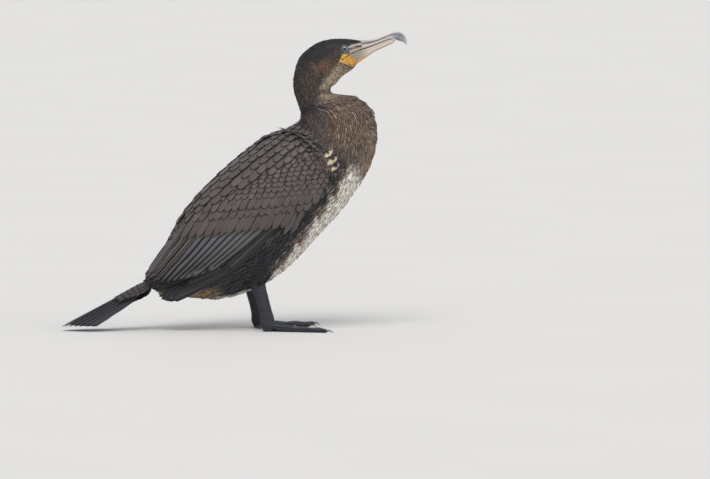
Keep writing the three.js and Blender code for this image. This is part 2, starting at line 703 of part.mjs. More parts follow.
// The web that joins all four toes, as one thin sheet that rises to the joint and is hollowed between the tips.
function web(side, dx) {
  const [jx, jy] = LEG.joint;
  const spokes = [];
  TOES.forEach(([, degrees, length], i) => {
    spokes.push([degrees, length * WEB.reach]);
    if (i === TOES.length - 1) return;
    const [, nextDegrees, nextLength] = TOES[i + 1];
    const middle = (length + nextLength) / 2;
    spokes.push([(degrees + nextDegrees) / 2, middle * WEB.reach * (1 - WEB.hollow)]);
  });
  const sheet = (lift) =>
    WEB.rings.map((share) =>
      spokes.map(([degrees, length]) => {
        const r = length * share;
        const rise = WEB.rise * Math.max(0, 1 - r / WEB.riseReach) ** 2;
        const [cos, sin] = [Math.cos(degrees * RAD), Math.sin(degrees * RAD)];
        return V(jx + dx + r * cos, side * (jy + r * sin), WEB.height + lift + rise);
      }),
    );
  return plate(sheet(WEB.thick), sheet(0));
}

function foot(side, dx) {
  const [jx, jy] = LEG.joint;
  const heel = limb(HEEL.map(([fore, z, ...halves]) => [jx + fore + dx, jy, z, ...halves]), side);
  return join([heel, web(side, dx), ...TOES.map((t) => toe(side, dx, t))]);
}

function claw(side, dx, [, degrees, length]) {
  const [jx, jy] = LEG.joint;
  const [cos, sin] = [Math.cos(degrees * RAD), Math.sin(degrees * RAD)];
  const rings = Array.from({ length: CLAW.rings }, (_, i) => {
    const t = i / (CLAW.rings - 1);
    const r = lerp(CLAW.radius, CLAW.point, t ** 0.8);
    const along = length + GAP + t * CLAW.length;
    const z = lerp(CLAW.radius + CLAW.height, 0.5, t * t) + CLAW.arch * Math.sin(Math.PI * t);
    return Array.from({ length: CLAW.sides }, (_, j) => {
      const turn = (j / CLAW.sides) * 2 * Math.PI;
      return V(
        jx + dx + along * cos - r * Math.cos(turn) * sin,
        side * (jy + along * sin + r * Math.cos(turn) * cos),
        Math.max(0, z + r * Math.sin(turn)),
      );
    });
  });
  return tube(rings);
}

// The bird

const bird = new THREE.Group();
const add = (name, made, material) => bird.add(node(name, made, material));

const upper = ahead(trunk, creasePlane);
const lower = behind(trunk, creasePlane);
const face = behind(ahead(upper, napePlane), billPlane);
const lids = [RIGHT, LEFT].map(lid);
const sockets = [RIGHT, LEFT].map((side) => eyeball(side, GAP));
const grooves = [RIGHT, LEFT].map(gapeGroove);
add("head", join([face, ...lids]).subtract(join([...sockets, ...grooves])), DOWN);
add("neck_upper", behind(upper, napePlane), DOWN);
add("neck_lower", ahead(lower, breastPlane), DOWN);
add("torso", behind(lower, breastPlane), DOWN);
add("bill_upper", ahead(tube(billRings(UPPER_BILL, UPPER_RING)), billPlane), HORN);
add("bill_lower", ahead(tube(billRings(LOWER_BILL, LOWER_RING)), billPlane), HORN);
add("tail", tail(), FLIGHT);

for (const side of [RIGHT, LEFT]) {
  const { name, x } = LEGS[side];
  add(`eye_${name}`, eyeball(side, 0), EYEBALL);
  add(`wing_${name}`, wing(side), FEATHER);
  const floorPlane = (z) => ({ normal: [0, 0, 1], offset: z });
  add(`thigh_${name}`, ahead(thigh(side, x).subtract(grownTrunk), floorPlane(ANKLE_CUT)), DOWN);
  const leg = shank(side, x).subtract(grownTrunk);
  add(`shank_${name}`, behind(ahead(leg, floorPlane(FOOT_CUT)), floorPlane(ANKLE_CUT)), SCALE);
  add(`foot_${name}`, behind(foot(side, x), floorPlane(FOOT_CUT)), SCALE);
  for (const t of TOES) add(`claw_${name}_${t[0]}`, claw(side, x, t), HORN);
}

export default bird;
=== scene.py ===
# %% [markdown]
# # A great cormorant in its first year
# The solids give the bird its size and its outline. This notebook dresses them: one skin over all the
# flesh, small feathers over the skin, long feathers on the wings and tail, and a bill, eyes and feet with
# their own finish. A feather is always the same idea: a thin closed vane that leaves the skin at its root
# and lies towards the tail.

# %% Load the solids
import math

import bmesh
import bpy
import numpy as np
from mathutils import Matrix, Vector
from mathutils.bvhtree import BVHTree
from mathutils.kdtree import KDTree


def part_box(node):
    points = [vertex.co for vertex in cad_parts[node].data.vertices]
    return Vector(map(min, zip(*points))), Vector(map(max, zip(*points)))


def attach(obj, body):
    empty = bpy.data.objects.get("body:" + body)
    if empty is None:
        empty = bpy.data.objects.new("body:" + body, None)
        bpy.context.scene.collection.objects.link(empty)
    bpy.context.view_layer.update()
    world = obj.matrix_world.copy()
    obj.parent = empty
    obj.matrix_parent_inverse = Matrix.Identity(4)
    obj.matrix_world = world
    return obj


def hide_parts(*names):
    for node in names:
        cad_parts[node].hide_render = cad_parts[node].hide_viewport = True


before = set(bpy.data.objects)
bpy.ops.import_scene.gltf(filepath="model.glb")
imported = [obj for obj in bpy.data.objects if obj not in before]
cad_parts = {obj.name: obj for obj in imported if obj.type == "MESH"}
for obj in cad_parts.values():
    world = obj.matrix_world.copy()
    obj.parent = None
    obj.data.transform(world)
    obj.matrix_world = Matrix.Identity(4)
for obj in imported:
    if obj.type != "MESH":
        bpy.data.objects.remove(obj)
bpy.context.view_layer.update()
MM = 0.001
RIGHT, LEFT = -1, 1  # the sign of Y on each side
SIDES = {"right": RIGHT, "left": LEFT}
rng = np.random.default_rng(7)

# %% [markdown]
# ## Where is a point on the bird?
# Feathers, colours and the lie of the coat all follow the body, so each needs an address on it. The body,
# neck and head are one bent tube: `row` counts its cross-sections from the tail (0) to the bill (24), and
# `turn` is the angle round it, from the back line (0) by the right side (90) to the belly (180). An address
# by angle works on every side, which one from the camera's view would not.

# %% The tube's cross-sections, in millimetres
STATIONS = np.array([
    # back x and z, belly x and z, half the width
    [-137, 85, -127, 63, 14], [-120, 108, -104, 51, 27], [-97, 140, -60, 47, 41], [-65, 183, -18, 45, 53],
    [-27, 223, 36, 62, 63], [16, 261, 84, 94, 68], [48, 285, 125, 137, 68], [76, 302, 161, 176, 64],
    [93, 311, 186, 210, 58], [99, 316, 207, 247, 52], [99.5, 319.5, 216.5, 291, 46], [99, 322, 206, 333, 40],
    [98.5, 325, 176, 352, 34], [97.5, 329, 149, 354.5, 29], [94, 340, 143.5, 359, 26],
    [88.5, 357, 146.5, 363.5, 25], [87.3, 371, 154, 368, 24.5], [89.5, 388, 163, 378.5, 24],
    [96.5, 408, 174, 386, 23], [110, 421, 183, 393.5, 21.5],
    [127, 431.5, 190.5, 400, 20], [146, 436, 196.5, 405.5, 18], [165, 436.5, 201, 410, 15.5],
    [181, 435, 204.5, 414, 13], [194, 432.5, 208, 418, 10.5],
])
LAST_ROW = len(STATIONS) - 1


def spline(table, place):
    """Reads a table between its rows, on a smooth curve."""
    place = np.clip(np.atleast_1d(np.asarray(place, float)), 0, len(table) - 1.0001)
    low = place.astype(int)
    part = (place - low)[:, None]
    a, b, c, d = (table[np.clip(low + k, 0, len(table) - 1)] for k in (-1, 0, 1, 2))
    bend = (2 * a - 5 * b + 4 * c - d) * part**2 + (3 * b - 3 * c + d - a) * part**3
    return 0.5 * (2 * b + (c - a) * part + bend)


def trunk_point(row, turn):
    """The points of the tube at these rows and turns (in degrees), in metres."""
    station = spline(STATIONS, row)
    angle = np.radians(np.atleast_1d(np.asarray(turn, float)))
    down = (1 - np.cos(angle)) / 2
    x = station[:, 0] * (1 - down) + station[:, 2] * down
    z = station[:, 1] * (1 - down) + station[:, 3] * down
    return np.stack([x, -np.sin(angle) * station[:, 4], z], 1) * MM


def unit(vectors):
    """The same ways, each one metre long."""
    return vectors / np.maximum(np.linalg.norm(vectors, axis=-1, keepdims=True), 1e-12)


print("the tube has", len(STATIONS), "cross-sections")

# %% A finder that turns a point into its address
ROW_STEP, TURN_STEP = 0.1, 5  # how close the known places lie, in rows and in degrees
FLOW_STEP = 0.05  # half the rows over which the way towards the tail is measured
grid_rows, grid_turns = np.meshgrid(
    np.arange(0, LAST_ROW, ROW_STEP), np.arange(0, 360, TURN_STEP), indexing="ij"
)
grid_rows, grid_turns = grid_rows.ravel(), grid_turns.ravel()
grid_points = trunk_point(grid_rows, grid_turns)
tailward = trunk_point(grid_rows - FLOW_STEP, grid_turns) - trunk_point(grid_rows + FLOW_STEP, grid_turns)
grid_flow = unit(tailward)
finder = KDTree(len(grid_points))
for number, point in enumerate(grid_points):
    finder.insert(point, number)
finder.balance()


def address(points):
    """Row, turn and the way towards the tail for each point, from the four nearest places of the tube."""
    near = [finder.find_n(Vector(p), 4) for p in points]
    index = np.array([[hit[1] for hit in hits] for hits in near])
    weight = 1 / (np.array([[hit[2] for hit in hits] for hits in near]) + 1e-5)
    weight /= weight.sum(1, keepdims=True)
    row = (grid_rows[index] * weight).sum(1)
    angle = np.radians(grid_turns[index])
    turn = np.degrees(np.arctan2((np.sin(angle) * weight).sum(1), (np.cos(angle) * weight).sum(1))) % 360
    flow = unit((grid_flow[index] * weight[:, :, None]).sum(1))
    return row, turn, flow


print("the finder knows", len(grid_points), "places on the tube")

# %% [markdown]
# ## The skin
# A real bird's skin runs without a seam from bill to tail, but the solids are parted into head, neck, torso
# and thighs. Copies of them are grown until they overlap, and a voxel remesh then makes one closed surface
# of them all. Smoothing takes out the facets. The skin is raised under each wing, by the arm and its
# muscles, and sunk by the depth of the coat everywhere else, so that the feathers end where the solids do.

# %% Helpers that join and remesh
def placed(name, mesh):
    """A new object with this mesh, in the scene."""
    made = bpy.data.objects.new(name, mesh)
    bpy.context.collection.objects.link(made)
    return made


def grown_copy(names, grow):
    """A new object with copies of these nodes, their loose triangles joined up and their walls moved out."""
    work = bmesh.new()
    for name in names:
        work.from_mesh(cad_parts[name].data)
    bmesh.ops.remove_doubles(work, verts=work.verts, dist=1e-6)
    work.normal_update()
    for vertex in work.verts:
        vertex.co += vertex.normal * grow
    mesh = bpy.data.meshes.new("copy")
    work.to_mesh(mesh)
    work.free()
    return placed("copy", mesh)


def finished(source, name):
    """The object as its modifiers leave it, as a plain mesh under a new name. The source is deleted."""
    graph = bpy.context.evaluated_depsgraph_get()
    mesh = bpy.data.meshes.new_from_object(source.evaluated_get(graph))
    mesh.name = name
    bpy.data.objects.remove(source)
    return placed(name, mesh)


def remeshed(names, voxel, grow, name):
    """One closed surface round these nodes, its faces as large as a voxel."""
    copy = grown_copy(names, grow)
    remesh = copy.modifiers.new("remesh", "REMESH")
    remesh.mode = "VOXEL"
    remesh.voxel_size = voxel
    return finished(copy, name)


print("helpers for objects are ready")


# %% Helpers that read, move and smooth points
def points_of(mesh):
    flat = np.empty(len(mesh.vertices) * 3, np.float32)
    mesh.vertices.foreach_get("co", flat)
    return flat.reshape(-1, 3).astype(float)


def normals_of(mesh):
    flat = np.empty(len(mesh.vertices) * 3, np.float32)
    mesh.vertex_normals.foreach_get("vector", flat)
    return flat.reshape(-1, 3).astype(float)


def move_points(mesh, points):
    mesh.vertices.foreach_set("co", points.astype(np.float32).ravel())
    mesh.update()


def relax(mesh, rounds, weight):
    """Moves each point towards the middle of its neighbours. weight may differ from point to point."""
    edges = np.empty(len(mesh.edges) * 2, np.int32)
    mesh.edges.foreach_get("vertices", edges)
    a, b = edges.reshape(-1, 2).T
    points = points_of(mesh)
    degree = np.bincount(np.concatenate([a, b]), minlength=len(points))[:, None]
    weight = np.broadcast_to(np.asarray(weight, float).reshape(-1, 1), (len(points), 1))
    for _ in range(rounds):
        total = np.stack([
            np.bincount(a, points[b, k], len(points)) + np.bincount(b, points[a, k], len(points))
            for k in range(3)
        ], 1)
        points += weight * (total / degree - points)
    move_points(mesh, points)


print("helpers for points are ready")

# %% One surface from the solids of the flesh
FLESH = ["torso", "neck_lower", "neck_upper", "head", "thigh_right", "thigh_left"]
VOXEL = 2.0 * MM
GROW = 0.45 * MM  # how far the copies grow, so that they overlap
SMOOTHING = {"rounds": 14, "head": 0.25, "body": 0.5, "head_row": 19}  # the head is smoothed less
skin = remeshed(FLESH, VOXEL, GROW, "skin")
row, turn, flow = address(points_of(skin.data))
weight = np.where(row > SMOOTHING["head_row"], SMOOTHING["head"], SMOOTHING["body"])
relax(skin.data, SMOOTHING["rounds"], weight)
print("the skin has", len(skin.data.vertices), "points")

# %% The arm under each wing, and the depth of the coat
ARM = np.array([
    # row, the arm's upper and lower edge in degrees from the back line, share of the full thickness
    [1.9, 14, 84, 0.35], [2.5, 6, 104, 0.7], [3.3, 4, 112, 0.9], [4.2, 4, 113, 1], [5.2, 5, 114, 1],
    [6.2, 10, 117, 1], [7.0, 22, 118, 0.95], [7.6, 40, 112, 0.7], [7.95, 74, 98, 0.25],
])
ARM_THICK = 6.0 * MM
ARM_FADE = (3, 7)  # how far outside and inside its edge the arm fades, in degrees
COAT_DEPTH = {"body": 2.6 * MM, "neck": 1.7 * MM, "head": 0.9 * MM}


def ramp(value, low, high):
    """0 below low, 1 above high, and a smooth step between them."""
    part = np.clip((value - low) / (high - low), 0, 1)
    return part * part * (3 - 2 * part)


def half_turn(turn):
    """How far round from the back line, on either side."""
    return np.minimum(turn, 360 - turn)


def arm_share(row, turn):
    """1 over the folded arm and its muscles, fading to 0 at their edge."""
    low = np.interp(row, ARM[:, 0], ARM[:, 1], 90, 90)
    high = np.interp(row, ARM[:, 0], ARM[:, 2], 90, 90)
    share = np.interp(row, ARM[:, 0], ARM[:, 3], 0, 0)
    across = half_turn(turn)
    outer, inner = ARM_FADE
    return share * ramp(across, low - outer, low + inner) * ramp(-across, -high - outer, -high + inner)


def coat_depth(row):
    """How deep the feathers lie on the skin at each row."""
    neck = ramp(row, 11.5, 13.5)
    head = ramp(row, 17, 19)
    body = COAT_DEPTH["body"] * (1 - neck) + COAT_DEPTH["neck"] * neck
    return body * (1 - head) + COAT_DEPTH["head"] * head


row, turn, flow = address(points_of(skin.data))
arm = arm_share(row, turn)
raised = arm * ARM_THICK - (1 - arm) * coat_depth(row)
move_points(skin.data, points_of(skin.data) + normals_of(skin.data) * raised[:, None])
relax(skin.data, 3, 0.5)
print("the skin is raised by up to", round(raised.max() / MM, 1), "mm",
      "and sunk by", round(-raised.min() / MM, 1))

# %% [markdown]
# ## The face
# Round the gape the face is bare: yellow skin in fine wrinkles, below the eye and along the lower half of
# the bill. The mouth line runs back from the bill into it. Detail this small needs smaller faces than the
# body, so only the face is cut finer before its points are moved.

# %% The mouth line and the bare skin, seen from the side, in millimetres
MOUTH = np.array([[192, 420.5], [180, 416.5], [169.5, 411], [160, 404.5]])
GAPE_SKIN = np.array([
    [159, 409], [161, 413.5], [164, 414.8], [172, 413.7], [173, 410], [180, 407.5], [182, 402], [179, 393.5],
    [173, 395], [163, 399.5], [155, 401],
])
HORN_SKIN = np.array([
    [169, 424.5], [177, 428], [197, 431.5], [197, 404], [186, 398], [179, 393], [182, 402], [180, 408],
    [173, 410], [171, 417],
])
LORE_LINE = np.array([[170, 420], [182, 424], [197, 427]])
FACE = {"x": 150, "z": 388, "cuts": 2}  # what lies in front of x and above z is cut finer
LIP = {"width": 1.1, "depth": 0.9 * MM, "height": 0.35 * MM}
WRINKLE = 0.3 * MM


def line_distance(points, line):
    """The distance in the side view from each point (x, z) to a line of straight pieces."""
    best = np.full(len(points), 1e9)
    for a, b in zip(line[:-1], line[1:]):
        along = np.clip(((points - a) @ (b - a)) / ((b - a) @ (b - a)), 0, 1)
        best = np.minimum(best, np.linalg.norm(points - (a + along[:, None] * (b - a)), axis=1))
    return best


def inside(points, outline):
    """True for each point (x, z) that lies within a closed outline."""
    hit = np.zeros(len(points), bool)
    for (ax, az), (bx, bz) in zip(outline, np.roll(outline, -1, 0)):
        crosses = (az > points[:, 1]) != (bz > points[:, 1])
        at = ax + (points[:, 1] - az) * (bx - ax) / (bz - az + 1e-9)
        hit ^= crosses & (points[:, 0] < at)
    return hit


def patch(points, outline, soft=0.8):
    """1 inside an outline and 0 outside, with a soft edge, in millimetres."""
    distance = line_distance(points, np.vstack([outline, outline[:1]]))
    return ramp(np.where(inside(points, outline), distance, -distance), -soft, soft)


def side_view(points):
    """The points as the side view shows them, in millimetres."""
    return points[:, [0, 2]] / MM


def in_face(x, z):
    return (x > FACE["x"] * MM) & (z > FACE["z"] * MM)


print("the mouth line has", len(MOUTH), "points and the yellow skin", len(GAPE_SKIN))

# %% Cut the face finer and press the mouth line into it
work = bmesh.new()
work.from_mesh(skin.data)
near = [face for face in work.faces if in_face(*face.calc_center_median().xz)]
edges = list({edge for face in near for edge in face.edges})
bmesh.ops.subdivide_edges(work, edges=edges, cuts=FACE["cuts"], use_grid_fill=True)
work.to_mesh(skin.data)
work.free()
points = points_of(skin.data)
relax(skin.data, 3, np.where(in_face(points[:, 0], points[:, 2]), 0.5, 0))
points = points_of(skin.data)
row, turn, flow = address(points)
seen = side_view(points)
gape = patch(seen, GAPE_SKIN)
face = in_face(points[:, 0], points[:, 2])
mouth = line_distance(seen, MOUTH)
groove = -LIP["depth"] * np.exp(-((mouth / (0.5 * LIP["width"])) ** 2))
lips = LIP["height"] * np.exp(-(((mouth - 1.5 * LIP["width"]) / LIP["width"]) ** 2))
wrinkle = WRINKLE * gape * np.sin(seen[:, 0] * 1.7 - seen[:, 1] * 1.1 + 1.5 * np.sin(seen[:, 1] * 0.9))
raised = (groove + lips + wrinkle) * face
move_points(skin.data, points + normals_of(skin.data) * raised[:, None])
print("the face was cut into", len(skin.data.polygons), "faces with the rest, and its mouth line is",
      round(-groove.min() / MM, 2), "mm deep")

# %% [markdown]
# ## Colours
# The young bird is brown above, with dark edges to its feathers, and white below with brown streaks
# between. Every feather gets a tint for its middle and one for its fringe, worked out from its address, and
# the skin gets the same tints, so that a gap between feathers never shows as a hole.


# %% Tints by name: the middle of a feather and its fringe
def colour(code):
    """A web colour as the linear numbers that shaders use."""
    level = np.array([int(code[k : k + 2], 16) for k in (0, 2, 4)]) / 255
    return np.where(level <= 0.04045, level / 12.92, ((level + 0.055) / 1.055) ** 2.4)


TINTS = {
    "mantle": ("4b423e", "231f1e"),
    "flank": ("202128", "17181e"),
    "flank_edge": ("3b2d27", "8a7159"),
    "streak": ("614431", "f3eadb"),
    "belly": ("efe9dc", "fffaf0"),
    "vent": ("94795a", "cbb692"),
    "undertail": ("1b1a1d", "28282c"),
    "breast": ("563d2d", "f2e2c9"),
    "bib": ("9b7d63", "f3e8d6"),
    "breast_back": ("3f3330", "7a6657"),
    "neck_base": ("221f25", "2f2b34"),
    "neck": ("362a25", "a08a74"),
    "nape": ("2c2524", "594a41"),
    "crown": ("1d1a1c", "383331"),
    "cheek": ("493a31", "8d765f"),
    "rust": ("6a4a37", "b0906f"),
    "cheek_spot": ("a58e78", "d9c9b4"),
    "throat": ("b39f83", "efe4d0"),
    "throat_shade": ("3d3322", "6e5f42"),
    "collar": ("a8927a", "f3eadb"),
    "gape": ("dfa02a", "e8b64a"),
    "horn_skin": ("a3968c", "a3968c"),
    "lore_line": ("332a27", "332a27"),
    # painted shade: the dark crease of the mouth line
    "painted_mouth_shade": ("2f2521", "2f2521"),
    "shoulder": ("5f5049", "a08d7b"),
}
TINTS = {name: np.array([colour(middle), colour(edge)]) for name, (middle, edge) in TINTS.items()}
print("there are", len(TINTS), "pairs of tints")

# %% Patches of the head and the shoulder, seen from the side, in millimetres
SHOULDER_TUFT = np.array([[125, 265], [132, 268], [144, 259], [143, 242], [137, 233], [130, 247]])
RUST_PATCH = np.array([[105, 404], [117, 411], [135, 410], [147, 400], [141, 389], [120, 389]])
CHEEK_SPOT = np.array([[114, 405], [121, 405], [121, 396], [115, 395]])
THROAT = np.array([
    [156, 400], [168, 395], [180, 392], [170, 378], [156, 368], [141, 362], [129, 366], [136, 378],
    [146, 390],
])
THROAT_SHADE = np.array([[124, 376], [138, 374], [150, 366], [150, 358], [132, 357], [119, 365]])
COLLAR = np.array([[126, 360], [146, 361], [160, 354], [138, 347], [124, 351]])
print("the throat patch has", len(THROAT), "corners")


# %% How the tints lie over the body
def plumage(row, turn, points):
    """The tints of middle and fringe for feathers at these addresses and points."""
    across = half_turn(turn)
    seen = side_view(points)
    tints = np.broadcast_to(TINTS["mantle"], (len(row), 2, 3)).copy()

    def blend(name, share):
        tints[:] = tints * (1 - share[:, None, None]) + TINTS[name] * share[:, None, None]

    body = ramp(-row, -9.2, -8.3)
    edge = np.interp(row, [2.5, 4, 5, 6.5, 8.3], [152, 143, 137, 126, 114])
    wander = 4 * np.sin(row * 9 + across * 0.15) + 3 * np.sin(row * 23)
    blend("flank", body * ramp(across, 80, 96))
    blend("undertail", body * ramp(-row, -2.4, -1.7) * ramp(across, 60, 75))
    blend("flank_edge", body * ramp(across + wander, edge - 3, edge + 1))
    blend("streak", body * ramp(across + wander, edge + 1, edge + 5))
    blend("belly", body * ramp(across + wander, edge + 5, edge + 15))
    blend("vent", ramp(-row, -3.4, -2.8) * ramp(across, 128, 142) * ramp(row, 0.9, 1.5))
    thigh = ramp(-seen[:, 1], -108, -94) * ramp(np.abs(points[:, 1]) / MM, 14, 22) * ramp(seen[:, 0], -18, -6)
    blend("flank", thigh * ramp(-seen[:, 0], -66, -58))
    lobe = ramp(row, 8.3, 9.9)
    blend("breast_back", lobe)
    blend("breast", lobe * ramp(across, 50, 90))
    blend("bib", ramp(row, 8.3, 8.9) * ramp(-row, -10.8, -9.2) * ramp(across, 118, 165) * 0.8)
    blend("neck_base", ramp(row, 11.3, 12.6) * ramp(-across, -110, -70))
    blend("neck", ramp(row, 13.2, 14.6))
    blend("nape", ramp(row, 13.8, 15) * ramp(-across, -60, -35))
    blend("cheek", ramp(row, 17.2, 19))
    head = ramp(row, 12.4, 12.9)
    blend("throat_shade", patch(seen, THROAT_SHADE, 4) * head)
    blend("collar", patch(seen, COLLAR, 4) * ramp(row, 11.8, 12.4) * ramp(-row, -14.8, -14) * 0.8)
    blend("rust", patch(seen, RUST_PATCH, 5) * head)
    blend("cheek_spot", patch(seen, CHEEK_SPOT, 2) * head)
    blend("crown", ramp(row, 16.5, 18.5) * ramp(-across, -84, -66))
    blend("throat", patch(seen, THROAT, 5) * ramp(across, 70, 95) * head * 0.85)
    blend("shoulder", patch(seen, SHOULDER_TUFT, 4) * ramp(-row, -9.8, -9.2))
    bare_face = ramp(row, 18.5, 19.3)
    blend("horn_skin", patch(seen, HORN_SKIN) * bare_face)
    blend("lore_line", ramp(-line_distance(seen, LORE_LINE), -2.2, -0.8) * bare_face)
    blend("gape", patch(seen, GAPE_SKIN) * bare_face)
    # painted shade darkens the crease of the mouth line, over its pressed groove
    blend("painted_mouth_shade", ramp(-line_distance(seen, MOUTH), -1.1, -0.3) * bare_face)
    return tints


middle_row, belly_turn = np.array([6.0]), np.array([180.0])
belly_tint = plumage(middle_row, belly_turn, trunk_point(middle_row, belly_turn))[0, 0]
print("the belly's tint is", belly_tint.round(2))


# %% The skin gets the same tints as its feathers
def put(mesh, name, kind, values, domain="POINT"):
    """Stores values on a mesh as a named attribute."""
    values = np.asarray(values, float)
    if kind == "FLOAT_COLOR":
        values = np.hstack([values, np.ones((len(values), 1))])
    field = {"FLOAT": "value", "FLOAT_VECTOR": "vector", "FLOAT_COLOR": "color", "FLOAT2": "vector"}[kind]
    layer = mesh.attributes.new(name, kind, domain)
    layer.data.foreach_set(field, values.astype(np.float32).ravel())


points = points_of(skin.data)
row, turn, flow = address(points)
skin_tints = plumage(row, turn, points)
bare = np.maximum(patch(side_view(points), GAPE_SKIN), patch(side_view(points), HORN_SKIN)) * (row > 18.5)
put(skin.data, "Tint", "FLOAT_COLOR", skin_tints[:, 0])
put(skin.data, "Bare", "FLOAT", bare)
print("tints are set on", len(points), "points of the skin")

# %% [markdown]
# ## Feather finishes
# A feather's vane is made of fine barbs that leave the shaft at a slant, which gives it a silky sheen. Body
# feathers, coverts, quills and pale-edged feathers differ in gloss, fringe and shaft, but all four finishes
# use the same group for the vane, so that a change to it shows on every feather. The group reads the vane's
# own map, where U runs across and V from root to tip, and gives masks for the shaft and the fringe and a
# height for the barbs.


# %% Helpers for node trees
def link(tree, source, target):
    tree.links.new(source, target)


def maths(tree, operation, *values):
    """A Math node. Each value is a number or another node's output."""
    node = tree.nodes.new("ShaderNodeMath")
    node.operation = operation
    for socket, value in zip(node.inputs, values):
        if isinstance(value, bpy.types.NodeSocket):
            link(tree, value, socket)
        else:
            socket.default_value = value
    return node.outputs[0]


def blended(tree, share, first, second):
    """Mixes two colours, each given as numbers or as an output."""
    node = tree.nodes.new("ShaderNodeMix")
    node.data_type = "RGBA"
    sockets = [s for s in node.inputs if s.enabled]
    for socket, value in zip(sockets, (share, first, second)):
        if isinstance(value, bpy.types.NodeSocket):
            link(tree, value, socket)
        elif isinstance(value, (int, float)):
            socket.default_value = value
        else:
            socket.default_value = (*value, 1)
    return [s for s in node.outputs if s.enabled][0]


def smooth_step(tree, value, low, high):
    node = tree.nodes.new("ShaderNodeMapRange")
    node.interpolation_type = "SMOOTHSTEP"
    link(tree, value, node.inputs["Value"])
    node.inputs["From Min"].default_value = low
    node.inputs["From Max"].default_value = high
    return node.outputs["Result"]


def scaled(tree, value, factor):
    """A colour made lighter or darker."""
    node = tree.nodes.new("ShaderNodeVectorMath")
    node.operation = "SCALE"
    link(tree, value, node.inputs[0])
    link(tree, factor, node.inputs["Scale"])
    return node.outputs[0]


def attribute(tree, name):
    node = tree.nodes.new("ShaderNodeAttribute")
    node.attribute_name = name
    return node


def noise(tree, scale, detail=3.0, stretch=(1, 1, 1)):
    """A noise in object coordinates, its scale in waves per metre."""
    where = tree.nodes.new("ShaderNodeTexCoord")
    mapping = tree.nodes.new("ShaderNodeMapping")
    mapping.inputs["Scale"].default_value = stretch
    link(tree, where.outputs["Object"], mapping.inputs["Vector"])
    node = tree.nodes.new("ShaderNodeTexNoise")
    link(tree, mapping.outputs[0], node.inputs["Vector"])
    node.inputs["Scale"].default_value = scale
    node.inputs["Detail"].default_value = detail
    return node.outputs["Fac"]


print("helpers for node trees are ready")


# %% Helpers for materials
def new_material(name, roughness, sheen=0.0, coat=0.0, specular=0.5):
    """A material, its tree and its shader. What is the same all over is set here, on the shader itself."""
    material = bpy.data.materials.new(name)
    material.use_nodes = True
    tree = material.node_tree
    shader = tree.nodes["Principled BSDF"]
    shader.inputs["Roughness"].default_value = roughness
    shader.inputs["Sheen Weight"].default_value = sheen
    shader.inputs["Coat Weight"].default_value = coat
    shader.inputs["Specular IOR Level"].default_value = specular
    return material, tree, shader


def bump(tree, shader, height, strength, distance):
    """Fine relief. distance is in metres."""
    node = tree.nodes.new("ShaderNodeBump")
    node.inputs["Strength"].default_value = strength
    node.inputs["Distance"].default_value = distance
    link(tree, height, node.inputs["Height"])
    link(tree, node.outputs["Normal"], shader.inputs["Normal"])


def covered_with(piece, material):
    """Gives a piece its finish and smooth shading."""
    piece.data.materials.clear()
    piece.data.materials.append(material)
    piece.data.shade_smooth()
    return piece


print("helpers for materials are ready")

# %% The group that draws a vane
vane_group = bpy.data.node_groups.new("Vane", "ShaderNodeTree")
for socket_name, value in {"Fringe width": 0.25, "Shaft width": 0.05, "Barbs": 60.0}.items():
    socket = vane_group.interface.new_socket(socket_name, in_out="INPUT", socket_type="NodeSocketFloat")
    socket.default_value = value
for socket_name in ("Fringe", "Shaft", "Height"):
    vane_group.interface.new_socket(socket_name, in_out="OUTPUT", socket_type="NodeSocketFloat")
inputs = vane_group.nodes.new("NodeGroupInput")
outputs = vane_group.nodes.new("NodeGroupOutput")
vane_map = vane_group.nodes.new("ShaderNodeUVMap")
vane_map.uv_map = "Vane"
split = vane_group.nodes.new("ShaderNodeSeparateXYZ")
link(vane_group, vane_map.outputs[0], split.inputs[0])
u, v = split.outputs[0], split.outputs[1]
off_shaft = maths(vane_group, "ABSOLUTE", maths(vane_group, "MULTIPLY_ADD", u, 2.0, -1.0))
to_tip = maths(vane_group, "POWER", v, 6.0)
rim = maths(vane_group, "MAXIMUM", off_shaft, to_tip)
inner = maths(vane_group, "SUBTRACT", 1.0, inputs.outputs["Fringe width"])
band = maths(vane_group, "SUBTRACT", rim, inner)
fringe = maths(vane_group, "DIVIDE", band, inputs.outputs["Fringe width"])
link(vane_group, smooth_step(vane_group, fringe, 0.0, 0.7), outputs.inputs["Fringe"])
shaft = maths(vane_group, "DIVIDE", off_shaft, inputs.outputs["Shaft width"])
link(vane_group, smooth_step(vane_group, shaft, 1.0, 0.4), outputs.inputs["Shaft"])
slant = maths(vane_group, "MULTIPLY_ADD", off_shaft, -0.18, v)
barbs = maths(vane_group, "SINE", maths(vane_group, "MULTIPLY", slant, inputs.outputs["Barbs"]))
link(vane_group, barbs, outputs.inputs["Height"])
print("the group", vane_group.name, "has", len(vane_group.nodes), "nodes")

# %% Four finishes that use it
VANE_FINISHES = {
    # roughness, sheen, relief, widths of fringe and shaft, barbs, the shaft's colour and its share
    "body_feather": (0.72, 0.15, 0.35, 0.45, 0.05, 45.0, "2a2320", 0.25),
    "covert_feather": (0.5, 0.1, 0.4, 0.3, 0.05, 70.0, "241f1d", 0.55),
    "flight_feather": (0.5, 0.1, 0.4, 0.55, 0.05, 130.0, "7c7672", 0.55),
    "edged_feather": (0.5, 0.1, 0.4, 0.14, 0.07, 130.0, "a5a09b", 0.7),
}
BARB_DEPTH = 0.1 * MM


